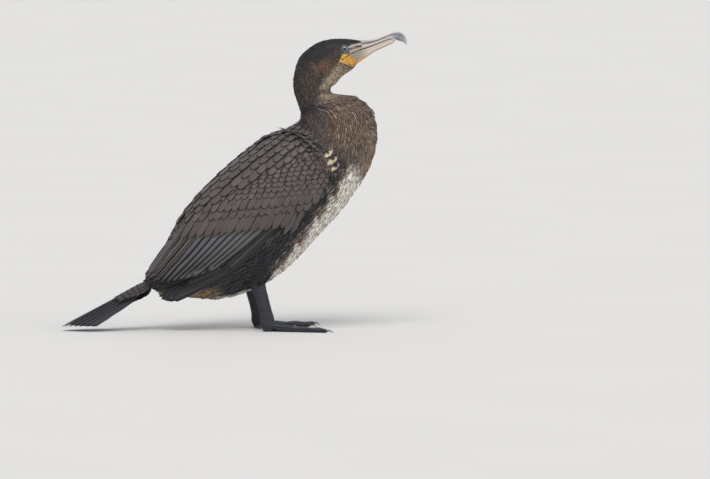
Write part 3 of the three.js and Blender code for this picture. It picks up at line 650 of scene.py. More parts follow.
def vane_material(name):
    """Tint, Fringe and Shade are stored on every feather, so one material serves feathers of all colours."""
    roughness, sheen, relief, *drawn, shaft_colour, shaft_share = VANE_FINISHES[name]
    material, tree, shader = new_material(name, roughness, sheen=sheen, specular=0.35)
    group = tree.nodes.new("ShaderNodeGroup")
    group.node_tree = vane_group
    for socket_name, value in zip(("Fringe width", "Shaft width", "Barbs"), drawn):
        group.inputs[socket_name].default_value = value
    tint = attribute(tree, "Tint").outputs["Color"]
    edge = attribute(tree, "Fringe").outputs["Color"]
    shade = attribute(tree, "Shade").outputs["Fac"]
    mottle = maths(tree, "MULTIPLY_ADD", noise(tree, 900.0), 0.5, 0.75)
    body = blended(tree, group.outputs["Fringe"], tint, edge)
    shaft = maths(tree, "MULTIPLY", group.outputs["Shaft"], shaft_share)
    body = blended(tree, shaft, body, colour(shaft_colour))
    link(tree, scaled(tree, body, maths(tree, "MULTIPLY", shade, mottle)), shader.inputs["Base Color"])
    bump(tree, shader, group.outputs["Height"], relief, BARB_DEPTH)
    return material


COAT, COVERT, QUILL, EDGED = [vane_material(name) for name in VANE_FINISHES]
print("the finishes are", ", ".join(VANE_FINISHES))

# %% [markdown]
# ### The skin's own finish
# Under the feathers the skin only has to be dark and quiet, a little darker than the coat, so that it reads
# as the shade between feathers. On the bare face it shows, so there it gets pale and dark blotches and a
# fine relief. The share of bare skin, stored on each point, blends between the two.

# %% The finish of the skin
SKIN, tree, shader = new_material("skin", 0.5, specular=0.4)
tint = attribute(tree, "Tint").outputs["Color"]
bare_share = attribute(tree, "Bare").outputs["Fac"]


def blotches(scale, stretch, low, high):
    """Blotches on the bare skin alone."""
    wave = smooth_step(tree, noise(tree, scale, 5.0, stretch), low, high)
    return maths(tree, "MULTIPLY", maths(tree, "MULTIPLY", wave, bare_share), 0.6)


mottled = blended(tree, blotches(330.0, (0.4, 1, 2.2), 0.5, 0.7), tint, colour("e9dcc0"))
mottled = blended(tree, blotches(520.0, (0.45, 1, 1.8), 0.52, 0.66), mottled, colour("5d4630"))
light = maths(tree, "MULTIPLY_ADD", bare_share, 0.5, 0.45)
uneven = maths(tree, "MULTIPLY_ADD", noise(tree, 420.0, 5.0), 0.4, 0.8)
link(tree, scaled(tree, mottled, maths(tree, "MULTIPLY", light, uneven)), shader.inputs["Base Color"])
bump(tree, shader, noise(tree, 1300.0, 6.0), 0.5, 0.4 * MM)
covered_with(skin, SKIN)
print("the skin's finish has", len(tree.nodes), "nodes")

# %% [markdown]
# ## Small body feathers
# Thousands of small feathers cover the body, each with its own place, size, lie and tint. Two short
# Geometry Nodes trees make them. The first scatters roots over a part of the skin, with a least distance
# between them. Python then writes what each root knows: its tints, the way out of the skin and the way to
# the tail. The second tree sets a vane on each root, and its instances are realized into plain mesh. Its
# instances are realized, because only plain mesh is exported.


# %% One vane to copy
def lens_faces(rows, columns):
    """Faces of a closed vane: an upper grid, and a lower one that shares its rim."""
    def upper(i, j):
        return i * columns + j

    low = {}
    for i in range(1, rows - 1):
        for j in range(1, columns - 1):
            low[i, j] = rows * columns + len(low)

    def lower(i, j):
        return low.get((i, j), upper(i, j))

    faces = []
    for i in range(rows - 1):
        for j in range(columns - 1):
            faces.append([upper(i, j), upper(i, j + 1), upper(i + 1, j + 1), upper(i + 1, j)])
            faces.append([lower(i, j), lower(i + 1, j), lower(i + 1, j + 1), lower(i, j + 1)])
    return faces, list(low)


def vane_outline(t, root, tip):
    """Half the width, as a share, at each share t of the length: narrow at the root and round at the tip."""
    rise = root + (1 - root) * np.sin(np.clip(t / 0.55, 0, 1) * math.pi / 2)
    start = 1 - tip
    end = np.sqrt(np.clip(1 - (np.clip((t - start) / tip, 0, 1)) ** 2, 0, 1))
    return rise * np.maximum(end, 0.12)


def put_map(mesh, name, values):
    """Writes a UV map, one place for each corner of each face."""
    mesh.uv_layers.new(name=name).data.foreach_set("uv", values.astype(np.float32).ravel())


VANE_THICK = 0.2 * MM


def small_vane(name, length, width, rows, camber, bend, tip=0.45):
    """A vane of that size in metres. It points along X, lies on XY and carries its own map."""
    columns = 3
    t = np.linspace(0, 1, rows)
    u = np.linspace(-1, 1, columns)
    half = vane_outline(t, 0.35, tip) * width / 2
    faces, low = lens_faces(rows, columns)
    x = np.repeat(t * length, columns)
    y = (half[:, None] * u).ravel()
    lift = camber * width * (1 - np.tile(u, rows) ** 2) - bend * length * np.repeat(t, columns) ** 2
    top = np.stack([x, y, lift], 1)
    bottom = np.array([top[i * columns + j] - [0, 0, VANE_THICK] for i, j in low])
    points = np.vstack([top, bottom])
    own_map = np.stack([np.tile((u + 1) / 2, rows), np.repeat(t, columns)], 1)
    own_map = np.vstack([own_map, [own_map[i * columns + j] for i, j in low]])
    mesh = bpy.data.meshes.new(name)
    mesh.from_pydata(points.tolist(), [], faces)
    put_map(mesh, "Vane", own_map[np.array([index for face in faces for index in face])])
    mesh.shade_smooth()
    return placed(name, mesh)


print("a closed vane of 5 by 3 points has", len(lens_faces(5, 3)[0]), "faces")


# %% Helpers for Geometry Nodes
def node_of(tree, kind, **properties):
    """A new node with its properties set."""
    node = tree.nodes.new(kind)
    for key, value in properties.items():
        setattr(node, key, value)
    return node


def active(sockets, name):
    """The socket of that name that the node's type uses."""
    return next(s for s in sockets if s.name == name and s.enabled)


def geometry_tree(name, sockets):
    """A Geometry Nodes tree with named inputs, ready for nodes between its input and its output."""
    tree = bpy.data.node_groups.new(name, "GeometryNodeTree")
    tree.interface.new_socket("Geometry", in_out="INPUT", socket_type="NodeSocketGeometry")
    tree.interface.new_socket("Geometry", in_out="OUTPUT", socket_type="NodeSocketGeometry")
    for socket_name, kind in sockets.items():
        tree.interface.new_socket(socket_name, in_out="INPUT", socket_type="NodeSocket" + kind)
    return tree, tree.nodes.new("NodeGroupInput"), tree.nodes.new("NodeGroupOutput")


def run_tree(source, tree, values, name):
    """Runs a tree on an object and gives the result as a plain mesh."""
    modifier = source.modifiers.new(tree.name, "NODES")
    modifier.node_group = tree
    keys = {item.name: item.identifier for item in tree.interface.items_tree if item.in_out == "INPUT"}
    for key, value in values.items():
        modifier[keys[key]] = value
    return finished(source, name)


print("helpers for Geometry Nodes are ready")

# %% [markdown]
# ### Two trees
# Hair particles could cover the body too, but their pieces can't carry a tint and a size of their own so
# simply. Here the first tree only chooses places, and the second only sets vanes. Between them the roots
# are a plain mesh, so Python can write on every root what it has worked out for it.

# %% The tree that scatters roots
DENSITY = 4e6  # roots per square metre before the spacing thins them
scatter_tree, given, result = geometry_tree(
    "Scatter roots", {"Tract": "String", "Spacing": "Float", "Seed": "Int"}
)
tract = node_of(scatter_tree, "GeometryNodeInputNamedAttribute", data_type="FLOAT")
link(scatter_tree, given.outputs["Tract"], tract.inputs["Name"])
chosen = node_of(scatter_tree, "FunctionNodeCompare", data_type="FLOAT", operation="GREATER_THAN")
link(scatter_tree, active(tract.outputs, "Attribute"), chosen.inputs[0])
chosen.inputs[1].default_value = 0.5
spread = node_of(scatter_tree, "GeometryNodeDistributePointsOnFaces", distribute_method="POISSON")
link(scatter_tree, given.outputs["Geometry"], spread.inputs["Mesh"])
link(scatter_tree, chosen.outputs[0], spread.inputs["Selection"])
link(scatter_tree, given.outputs["Spacing"], spread.inputs["Distance Min"])
link(scatter_tree, given.outputs["Seed"], spread.inputs["Seed"])
spread.inputs["Density Max"].default_value = DENSITY
as_mesh = scatter_tree.nodes.new("GeometryNodePointsToVertices")
link(scatter_tree, spread.outputs["Points"], as_mesh.inputs[0])
link(scatter_tree, as_mesh.outputs[0], result.inputs[0])
print("the tree that scatters has", len(scatter_tree.nodes), "nodes")

# %% The tree that sets a vane on each root
dress_tree, given, result = geometry_tree("Dress roots", {
    "Vane": "Object", "Lift": "Float", "Scatter": "Float", "Seed": "Int", "Finish": "Material",
})


def stored(tree, name, kind="FLOAT_VECTOR"):
    """Reads a named attribute."""
    node = node_of(tree, "GeometryNodeInputNamedAttribute", data_type=kind)
    node.inputs["Name"].default_value = name
    return active(node.outputs, "Attribute")


def store(tree, geometry, name, kind, domain, value):
    """Writes a named attribute."""
    node = node_of(tree, "GeometryNodeStoreNamedAttribute", data_type=kind, domain=domain)
    node.inputs["Name"].default_value = name
    link(tree, geometry, node.inputs["Geometry"])
    link(tree, value, active(node.inputs, "Value"))
    return node.outputs["Geometry"]


vane_info = node_of(dress_tree, "GeometryNodeObjectInfo", transform_space="ORIGINAL")
link(dress_tree, given.outputs["Vane"], vane_info.inputs["Object"])
upright = node_of(dress_tree, "FunctionNodeAlignRotationToVector", axis="Z")
link(dress_tree, stored(dress_tree, "out"), upright.inputs["Vector"])
aimed = node_of(dress_tree, "FunctionNodeAlignRotationToVector", axis="X", pivot_axis="Z")
link(dress_tree, upright.outputs[0], aimed.inputs["Rotation"])
link(dress_tree, stored(dress_tree, "along"), aimed.inputs["Vector"])
chance = node_of(dress_tree, "FunctionNodeRandomValue", data_type="FLOAT_VECTOR")
chance.inputs[0].default_value = (-1, -0.35, -1)
chance.inputs[1].default_value = (1, 0.35, 1)
link(dress_tree, given.outputs["Seed"], chance.inputs["Seed"])
spun = node_of(dress_tree, "ShaderNodeVectorMath", operation="SCALE")
link(dress_tree, chance.outputs[0], spun.inputs[0])
link(dress_tree, given.outputs["Scatter"], spun.inputs["Scale"])
pitch = dress_tree.nodes.new("ShaderNodeCombineXYZ")
pitch_sign = node_of(dress_tree, "ShaderNodeMath", operation="MULTIPLY")
link(dress_tree, given.outputs["Lift"], pitch_sign.inputs[0])
pitch_sign.inputs[1].default_value = -1
link(dress_tree, pitch_sign.outputs[0], pitch.inputs["Y"])
both = node_of(dress_tree, "ShaderNodeVectorMath", operation="ADD")
link(dress_tree, spun.outputs[0], both.inputs[0])
link(dress_tree, pitch.outputs[0], both.inputs[1])
eased = node_of(dress_tree, "FunctionNodeRotateRotation", rotation_space="LOCAL")
link(dress_tree, aimed.outputs[0], eased.inputs["Rotation"])
link(dress_tree, both.outputs[0], eased.inputs["Rotate By"])
copies = dress_tree.nodes.new("GeometryNodeInstanceOnPoints")
link(dress_tree, given.outputs["Geometry"], copies.inputs["Points"])
link(dress_tree, vane_info.outputs["Geometry"], copies.inputs["Instance"])
link(dress_tree, eased.outputs[0], copies.inputs["Rotation"])
link(dress_tree, stored(dress_tree, "size"), copies.inputs["Scale"])
real = dress_tree.nodes.new("GeometryNodeRealizeInstances")
link(dress_tree, copies.outputs[0], real.inputs[0])
PATCH_SIZE = 0.003  # how much of the bake map one feather covers
centred = node_of(dress_tree, "ShaderNodeVectorMath", operation="SUBTRACT")
link(dress_tree, stored(dress_tree, "Vane"), centred.inputs[0])
centred.inputs[1].default_value = (0.5, 0.5, 0)
shrunk = node_of(dress_tree, "ShaderNodeVectorMath", operation="SCALE")
link(dress_tree, centred.outputs[0], shrunk.inputs[0])
shrunk.inputs["Scale"].default_value = PATCH_SIZE
at_root = node_of(dress_tree, "ShaderNodeVectorMath", operation="ADD")
link(dress_tree, shrunk.outputs[0], at_root.inputs[0])
link(dress_tree, stored(dress_tree, "root_uv"), at_root.inputs[1])
mapped = store(dress_tree, real.outputs[0], "OFBake", "FLOAT2", "CORNER", at_root.outputs[0])
finish = dress_tree.nodes.new("GeometryNodeSetMaterial")
link(dress_tree, mapped, finish.inputs["Geometry"])
link(dress_tree, given.outputs["Finish"], finish.inputs["Material"])
link(dress_tree, finish.outputs[0], result.inputs[0])
print("the tree that dresses has", len(dress_tree.nodes), "nodes")

# %% [markdown]
# ### Where each kind grows
# Feathers grow in tracts, each with its own kind. The tracts follow the address, so they bend with the
# neck, and together they cover the skin but for the bare face. At the edge of the bare skin chance decides,
# so that the feathers end in a ragged line, as they do on the bird.

# %% Seven tracts
def tree_of(mesh):
    """The mesh's faces, sorted so that the nearest one, or the one that a ray meets, is found fast."""
    return BVHTree.FromPolygons(
        [vertex.co.copy() for vertex in mesh.vertices], [tuple(face.vertices) for face in mesh.polygons]
    )


surface = tree_of(skin.data)
points = points_of(skin.data)
row, turn, flow = address(points)
across = half_turn(turn)
seen = side_view(points)
covered = arm_share(row, turn) > 0.75
feathered = bare + rng.uniform(-0.5, 0.5, len(bare)) * (bare > 0.01) < 0.4
below = (row <= 8.6) & (across > 84) & ~covered
dark_side = across < np.interp(row, [2.5, 4, 5, 6.5, 8.3], [142, 133, 127, 116, 104])
TRACTS = {
    "head_coat": (row > 17.5) & feathered,
    "neck_coat": (row > 12.6) & (row <= 17.5),
    "breast_coat": (row > 8.6) & (row <= 12.6),
    "flank_coat": below & dark_side & (row > 2),
    "belly_coat": below & ~(dark_side & (row > 2)),
    "back_coat": (row <= 8.6) & (across <= 84) & ~covered & (row > 0.4),
    "arm_coat": (row <= 8.6) & covered,
}
for name, where in TRACTS.items():
    put(skin.data, name, "FLOAT", where)
print({name: int(where.sum()) for name, where in TRACTS.items()})


# %% Scatter, describe and dress
def root_uv(row, turn):
    """A root's place on the unwrap: along the body, and round it from the back line."""
    return np.stack([0.01 + 0.98 * row / LAST_ROW, 0.01 + 0.98 * (turn % 360) / 360], -1)


def room_ahead(points, flow, length):
    """The share of a feather's length that fits before it meets the skin of the next fold."""
    shares = []
    for point, way in zip(points, flow):
        distance = surface.ray_cast(Vector(point), Vector(way), length)[3]
        shares.append(1 if distance is None else max(distance / length, 0.4))
    return np.array(shares)


MINGLE = {"degrees": 4, "rows": 0.28}  # how far feathers of two colours mix where they meet
FOLD_PITCH = 1.0  # how far a feather stands up where a fold of the skin leaves it no room
ROOT_SUNK = 0.3 * MM


def dress(roots, name, vane, lift, scatter, seed, material):
    """Sets a vane on each root. lift and scatter are in degrees."""
    values = {"Vane": vane, "Lift": math.radians(lift), "Scatter": math.radians(scatter)}
    values.update({"Seed": seed, "Finish": material})
    return run_tree(roots, dress_tree, values, name)


def small_coat(name, spacing, size, vane, lift, scatter, seed, variety=0.16):
    """Covers one tract of the skin. size gives each feather's scale from its row and its angle."""
    source = placed("source", skin.data.copy())
    roots = run_tree(source, scatter_tree, {"Tract": name, "Spacing": spacing, "Seed": seed}, name + "_roots")
    points = points_of(roots.data)
    chance = np.random.default_rng(seed)
    row, turn, flow = address(points)
    out = np.array([surface.find_nearest(Vector(p))[1] for p in points])
    flow = unit(flow - out * (flow * out).sum(1, keepdims=True))
    mixed_row = row + chance.normal(0, MINGLE["rows"], len(points))
    tints = plumage(mixed_row, turn + chance.normal(0, MINGLE["degrees"], len(points)), points)
    fleck = 0.35 + 1.0 * chance.random((len(points), 1)) ** 1.3
    fringes = tints[:, 0] + (tints[:, 1] - tints[:, 0]) * np.minimum(fleck, 1.15)
    scale = size(row, half_turn(turn)) * chance.uniform(0.85, 1.15, len(points))
    room = room_ahead(points + out * MM, flow, vane.dimensions.x)
    scale *= room
    out = unit(out - flow * (FOLD_PITCH * (1 - room))[:, None])
    put(roots.data, "out", "FLOAT_VECTOR", out)
    put(roots.data, "along", "FLOAT_VECTOR", flow)
    put(roots.data, "size", "FLOAT_VECTOR", np.repeat(scale[:, None], 3, 1))
    put(roots.data, "Tint", "FLOAT_COLOR", tints[:, 0])
    put(roots.data, "Fringe", "FLOAT_COLOR", fringes.clip(0, 1))
    put(roots.data, "Shade", "FLOAT", chance.normal(1, variety, len(points)).clip(0.5, 1.5))
    bake = root_uv(row, turn)
    put(roots.data, "root_uv", "FLOAT_VECTOR", np.hstack([bake, np.zeros((len(bake), 1))]))
    move_points(roots.data, points - out * ROOT_SUNK)
    coat = dress(roots, name, vane, lift, scatter, seed, COAT)
    for spare in ("out", "along", "size", "root_uv"):
        layer = coat.data.attributes.get(spare)
        if layer:
            coat.data.attributes.remove(layer)
    print(name, "has", len(points), "feathers and", len(coat.data.polygons), "faces")
    return coat


# %% A vane for each kind, and the seven coats
head_vane = small_vane("head_vane", 4.4 * MM, 1.7 * MM, 4, 0.1, 0.05)
neck_vane = small_vane("neck_vane", 7 * MM, 2.4 * MM, 4, 0.1, 0.05)
breast_vane = small_vane("breast_vane", 12.5 * MM, 3.9 * MM, 5, 0.1, 0.05, tip=0.7)
belly_vane = small_vane("belly_vane", 17 * MM, 4.6 * MM, 5, 0.08, 0.05, tip=0.7)
flank_vane = small_vane("flank_vane", 14 * MM, 5.6 * MM, 5, 0.07, 0.05, tip=0.6)
back_vane = small_vane("back_vane", 14 * MM, 8.6 * MM, 5, 0.06, 0.05, tip=0.45)


def head_size(row, across):
    return np.interp(row, [17.5, 19, 21, 24], [1.1, 1, 0.8, 0.5])


def body_size(row, across):
    return np.interp(row, [0.5, 2, 8], [0.7, 1, 0.9])


def even_size(row, across):
    return np.ones(len(row))


coats = [
    # name, spacing of the roots, size, vane, lift and scatter in degrees, seed, variety of shade
    small_coat("head_coat", 1.1 * MM, head_size, head_vane, 7, 14, 11, 0.22),
    small_coat("neck_coat", 1.6 * MM, even_size, neck_vane, 6, 13, 12, 0.24),
    small_coat("breast_coat", 2.3 * MM, even_size, breast_vane, 6, 11, 13, 0.2),
    small_coat("flank_coat", 2.7 * MM, even_size, flank_vane, 4, 7, 14),
    small_coat("belly_coat", 2.7 * MM, body_size, belly_vane, 5, 9, 15),
    small_coat("back_coat", 4.2 * MM, body_size, back_vane, 4, 7, 16),
    small_coat("arm_coat", 5.2 * MM, even_size, back_vane, 2, 6, 17),
]
for spare in (head_vane, neck_vane, breast_vane, belly_vane, flank_vane, back_vane):
    bpy.data.objects.remove(spare)
print("the coats have", sum(len(coat.data.polygons) for coat in coats), "faces")

# %% [markdown]
# ## Long feathers
# The feathers of the wings and the tail are large enough to be told apart, so each is laid by itself. It
# follows a line of places, each a point and the way out of the body there, and its vane is swept along it
# with a raised shaft and slightly ragged edges. They lie in tiers, each over the roots of the next.


# %% A maker that lays vanes one by one
TIP_BAND = (0.88, 1.0)  # where a third tint, if there is one, takes over the fringe
RAGGED = 0.02  # how uneven a vane's edge is, as a share of its width


class Vanes:
    """Collects long feathers into one mesh."""

    def __init__(self, rows=11, columns=5):
        self.rows, self.columns = rows, columns
        self.faces, self.low = lens_faces(rows, columns)
        self.parts = []

    def lay(self, points, outs, width, thick, tilt, bake, tints, shade,
            root=0.3, tip=0.16, lean=0.0, cup=0.06):
        """One feather. tilt raises its right edge, lean moves the shaft off the middle, cup arches it."""
        rows, columns = self.rows, self.columns
        t = np.linspace(0, 1, rows)
        known = np.linspace(0, 1, len(points))
        line = np.stack([np.interp(t, known, np.asarray(points)[:, k]) for k in range(3)], 1)
        out = unit(np.stack([np.interp(t, known, np.asarray(outs)[:, k]) for k in range(3)], 1))
        ahead = unit(np.gradient(line, axis=0))
        right = unit(np.cross(ahead, out))
        out = np.cross(right, ahead)
        u = np.linspace(-1, 1, columns)
        half = vane_outline(t, root, tip) * width / 2
        ragged = 1 + rng.normal(0, RAGGED, (rows, columns)) * (np.abs(u) == 1)
        reach = half[:, None] * (u + lean * (1 - u**2)) * ragged
        arch = cup * width * (1 - u**2)
        shaft = thick * 0.8 * (u == 0) * (1 - 0.7 * t[:, None])
        height = arch + shaft + tilt * (half / half.max())[:, None] * u
        top = line[:, None, :] + right[:, None, :] * reach[:, :, None] + out[:, None, :] * height[:, :, None]
        bottom = np.array([top[i, j] - out[i] * thick for i, j in self.low])
        own = np.stack(np.broadcast_arrays((u + 1) / 2, t[:, None]), -1)
        own_low = np.array([own[i, j] for i, j in self.low])
        own = np.vstack([own.reshape(-1, 2), own_low])
        place = np.asarray(bake)[None, :] + (own - 0.5) * PATCH_SIZE
        at_tip = ramp(own[:, 1:], *TIP_BAND)
        middle = tints[0] + 0 * at_tip
        fringe = tints[1] * (1 - at_tip) + tints[-1] * at_tip
        self.parts.append((np.vstack([top.reshape(-1, 3), bottom]), own, place, middle, fringe, shade))

    def mesh(self, name, material):
        """All the feathers laid so far, as one piece."""
        size = self.rows * self.columns + len(self.low)
        corners = np.array([index for face in self.faces for index in face])
        count = len(self.parts)
        points = np.vstack([part[0] for part in self.parts])
        faces = [[index + k * size for index in face] for k in range(count) for face in self.faces]
        made = bpy.data.meshes.new(name)
        made.from_pydata(points.tolist(), [], faces)
        every = np.concatenate([corners + k * size for k in range(count)])
        for layer_name, column in (("Vane", 1), ("OFBake", 2)):
            put_map(made, layer_name, np.vstack([part[column] for part in self.parts])[every])
        put(made, "Tint", "FLOAT_COLOR", np.vstack([part[3] for part in self.parts]))
        put(made, "Fringe", "FLOAT_COLOR", np.vstack([part[4] for part in self.parts]))
        put(made, "Shade", "FLOAT", np.repeat([part[5] for part in self.parts], size))
        print(name, "has", count, "feathers and", len(faces), "faces")
        return covered_with(placed(name, made), material)


print("a vane has", len(Vanes().faces), "faces and a long one", len(Vanes(rows=15, columns=7).faces))


# %% Two ways to find a place on the skin
def from_side(x, z, side):
    """The skin seen from one side at (x, z) in millimetres: its point and the way out of it, or None."""
    hit, out, _, _ = surface.ray_cast(Vector((x * MM, side, z * MM)), Vector((0, -side, 0)))
    return (np.array(hit), np.array(out)) if hit is not None else None


def on_back(row, across, side):
    """The skin at an address: its point and the way out of it."""
    turn = across if side == RIGHT else 360 - across
    near = Vector(trunk_point(row, turn)[0])
    hit, out, _, _ = surface.find_nearest(near)
    return np.array(hit), np.array(out)


print("the skin at the wing's middle is", round(abs(from_side(0, 190, RIGHT)[0][1]) / MM, 1), "mm out")

# %% [markdown]
# ### The wing's coverts
# Rows of coverts lie over the folded arm, smallest at the bend of the wing. Each row is given by the line
# that its tips follow, seen from the side, and each feather is laid back from its tip towards the bend.
# Every feather rises from its root to its tip, so that it covers the roots behind it. The longest row ends
# in slightly paler tips, and three short rows of slender pale feathers stand at the shoulder. The scapulars
# come over the upper wing from the back, in lanes that follow the body.

# %% Rows of coverts, in millimetres
COVERT_TURN = 239  # the way that a covert points, in degrees up from the bird's front, seen from the side
COVERT_ROWS = [
    # tip of the first one and of the last one, from front to back, how many, length, width, kind
    ((80, 151), (68, 149), 2, 46, 13.5, "greater"),
    ((64, 158), (-80, 139), 14, 52, 13.5, "greater"),
    ((98, 182), (-76, 162), 17, 38, 12.5, "median"),
    ((112, 193), (-70, 175), 18, 30, 12, "median"),
    ((122, 201), (-62, 185), 19, 24, 11.5, "lesser"),
    ((130, 208), (-53, 194), 19, 21, 11, "lesser"),
    ((136, 216), (-42, 203), 18, 19, 11, "lesser"),
    ((141, 224), (-26, 211), 18, 18, 10.5, "lesser"),
    ((144, 232), (-8, 219), 16, 17, 10.5, "lesser"),
    ((147, 240), (16, 227), 14, 16, 10.5, "lesser"),
    ((148, 248), (38, 235), 12, 16, 10, "lesser"),
    ((147, 256), (62, 244), 9, 15, 10, "lesser"),
    ((143, 264), (82, 252), 7, 14, 9.5, "lesser"),
    ((136, 271), (100, 261), 5, 13, 9.5, "lesser"),
    ((136, 262), (130, 260), 3, 13, 4.5, "tuft"),
    ((143, 252), (134, 249), 4, 13, 4.5, "tuft"),
    ((146, 243), (139, 240), 3, 11, 4.5, "tuft"),
]
COVERT_TINTS = {
    "greater": ("524947", "191515", "ab927a"),
    "median": ("574d4a", "191515"),
    "lesser": ("584e4b", "1a1616"),
    "scapular": ("574d4a", "1a1616"),
    "tuft": ("c2ad94", "f4eddf"),
}
COVERT_TINTS = {name: [colour(code) for code in codes] for name, codes in COVERT_TINTS.items()}
COVERT_LIFTS = {
    # how far the root and the tip stand off the skin, in metres
    "greater": (-0.4 * MM, 3.0 * MM),
    "median": (-0.8 * MM, 1.8 * MM),
    "lesser": (-1.0 * MM, 0.9 * MM),
    "tuft": (0.4 * MM, 2.2 * MM),
}
STEPS = np.linspace(1, 0, 6)  # from root to tip, as a share of the length left
COVERT_SHAPE = {"thick": 0.25 * MM, "tilt": 0.35 * MM, "tip": 0.3}
print("there are", sum(line[2] for line in COVERT_ROWS), "coverts to a wing")


# %% Lay a row of coverts
def lay_from_tip(vanes, places, lift, width, tints, shade, side, bake):
    """Lays a covert through these places of the skin. lift is how far its root and its tip stand off it."""
    points = [p + out * (lift[0] * back + lift[1] * (1 - back)) for (p, out), back in zip(places, STEPS)]
    outs = [out for _, out in places]
    thick, tilt, tip = COVERT_SHAPE["thick"], COVERT_SHAPE["tilt"] * side, COVERT_SHAPE["tip"]
    vanes.lay(points, outs, width, thick, tilt, bake, tints, shade, tip=tip)


def covert_row(vanes, side, start, end, count, length, width, kind):
    """Lays the feathers of one row, from front to back."""
    for k in range(count):
        share = (k + rng.uniform(-0.12, 0.12)) / (count - 1)
        x, z = start[0] + (end[0] - start[0]) * share, start[1] + (end[1] - start[1]) * share
        swing = math.radians(COVERT_TURN + rng.uniform(-4, 4))
        reach = length * rng.uniform(0.94, 1.06)
        ahead, up = math.cos(swing) * reach, math.sin(swing) * reach
        found = [from_side(x - ahead * back, z - up * back, side) for back in STEPS]
        if any(place is None for place in found):
            continue
        row, turn, _ = address(found[0][0][None, :])
        bake = root_uv(row, turn)[0]
        shade = rng.normal(1, 0.09)
        lay_from_tip(vanes, found, COVERT_LIFTS[kind], width * MM, COVERT_TINTS[kind], shade, side, bake)


print("the greater coverts stand", round(COVERT_LIFTS["greater"][1] / MM, 1), "mm off the skin at their tips")

# %% Lanes of scapulars
SCAPULAR_LANES = [
    # degrees round from the back line, first and last row of their tips
    (6, 7.2, 2.2), (15, 7.4, 2.3), (24, 7.5, 2.5), (33, 7.6, 3.0), (42, 7.7, 3.6), (51, 7.7, 4.3),
    (60, 7.8, 5.2),
]
SCAPULAR = {"step": 0.34, "length": 0.75, "width": 14.5, "lift": (-1.0 * MM, 1.6 * MM)}


def scapulars(vanes, side):
    """Lays the lanes of one side. Every other lane starts a little further on."""
    for lane, (across, first, last) in enumerate(SCAPULAR_LANES):
        for tip_row in np.arange(first - 0.2 * (lane % 2), last, -SCAPULAR["step"]):
            across_now = across + rng.uniform(-1.5, 1.5)
            length = SCAPULAR["length"] * rng.uniform(0.92, 1.08)
            places = [on_back(tip_row + length * back, across_now - 3 * back, side) for back in STEPS]
            row, turn, _ = address(places[0][0][None, :])
            bake = root_uv(row, turn)[0]
            width = SCAPULAR["width"] * MM * np.interp(tip_row, [2.4, 4, 7.6], [1.15, 1.1, 0.7])
            tints, shade = COVERT_TINTS["scapular"], rng.normal(1, 0.08)
            lay_from_tip(vanes, places, SCAPULAR["lift"], width, tints, shade, side, bake)


print("the scapulars lie in", len(SCAPULAR_LANES), "lanes a side")

# %% [markdown]
# ### Flight feathers
# The secondaries fan out below the coverts, grey with black edges. The innermost lie on top, and each one
# out slips under its neighbour. The three innermost, the tertials, are brown with a narrow pale edge. The
# tips of a few primaries show below them, over the rump. Each is laid as a straight line from the arm to
# its tip, pushed out wherever the body would be in the way.

# %% Roots and tips of the flight feathers, in millimetres
SECONDARIES = {
    "roots": [(-72, 165), (66, 172)],
    "tips": [
        (-127, 6, 84), (-125, 10, 79), (-121, 15, 74), (-115, 21, 71), (-108, 26, 71), (-100, 31, 73),
        (-91, 36, 76), (-82, 41, 78), (-71, 46, 82), (-60, 51, 86), (-48, 56, 91), (-16, 64, 95),
    ],
    "width": [17, 16, 15, 14, 14, 14, 14, 14, 14, 14, 15, 21],
    "clear": 0.3 * MM,
    "stack": 0.32 * MM,
}
PRIMARIES = {
    "roots": [(14, 116), (8, 108), (2, 101), (-5, 94)],
    "tips": [(-112, 22, 52), (-111, 25, 48.5), (-106, 29, 47), (-97, 33, 48)],
    "width": 14,
    "clear": 1.2 * MM,
    "stack": 0.5 * MM,
}
FLIGHT_TINTS = [colour("57575a"), colour("0b0b0e")]
TERTIAL_TINTS = [colour("3b3634"), colour("958a83")]
PRIMARY_TINTS = [colour("232226"), colour("111114")]
TERTIALS = 3  # how many of the inner ones are tertials
FLIGHT = {
    "thick": 0.4 * MM, "tilt": 1.0 * MM, "lean": 0.12, "tip": 0.1, "root_sunk": 2 * MM,
    "bake_step": 0.004,  # how far apart two feathers a millimetre apart in the pile lie on the bake map
}
print("a wing shows", len(SECONDARIES["tips"]), "secondaries and", len(PRIMARIES["tips"]), "primaries")


# %% Lay the flight feathers
def flight_feather(vanes, side, root, tip, width, clear, stack, tints, tip_out):
    """Laid from the arm to its tip, clear of the body all the way. stack is its place in the pile."""
    start, start_out = from_side(root[0], root[1], side)
    points, outs = [], []
    for share in np.linspace(0, 1, 7):
        x, z = root[0] + (tip[0] - root[0]) * share, root[1] + (tip[2] - root[1]) * share
        under = from_side(x, z, side)
        depth = abs(under[0][1]) + clear if under else 0
        y = max(depth, abs(start[1]) * (1 - share) + tip[1] * MM * share)
        out = unit(start_out * (1 - share) + tip_out * share)
        points.append(np.array([x * MM, side * y, z * MM]) + out * stack * share)
        outs.append(out)
    points[0] = points[0] - start_out * FLIGHT["root_sunk"]
    row, turn, _ = address(start[None, :])
    bake = root_uv(row, turn)[0] + np.array([0.0, FLIGHT["bake_step"] * stack / MM])
    tilt, lean, shade = FLIGHT["tilt"] * side, FLIGHT["lean"] * side, rng.normal(1, 0.04)
    thick, tip_share = FLIGHT["thick"], FLIGHT["tip"]
    vanes.lay(points, outs, width * MM, thick, tilt, bake, tints, shade, tip=tip_share, lean=lean)


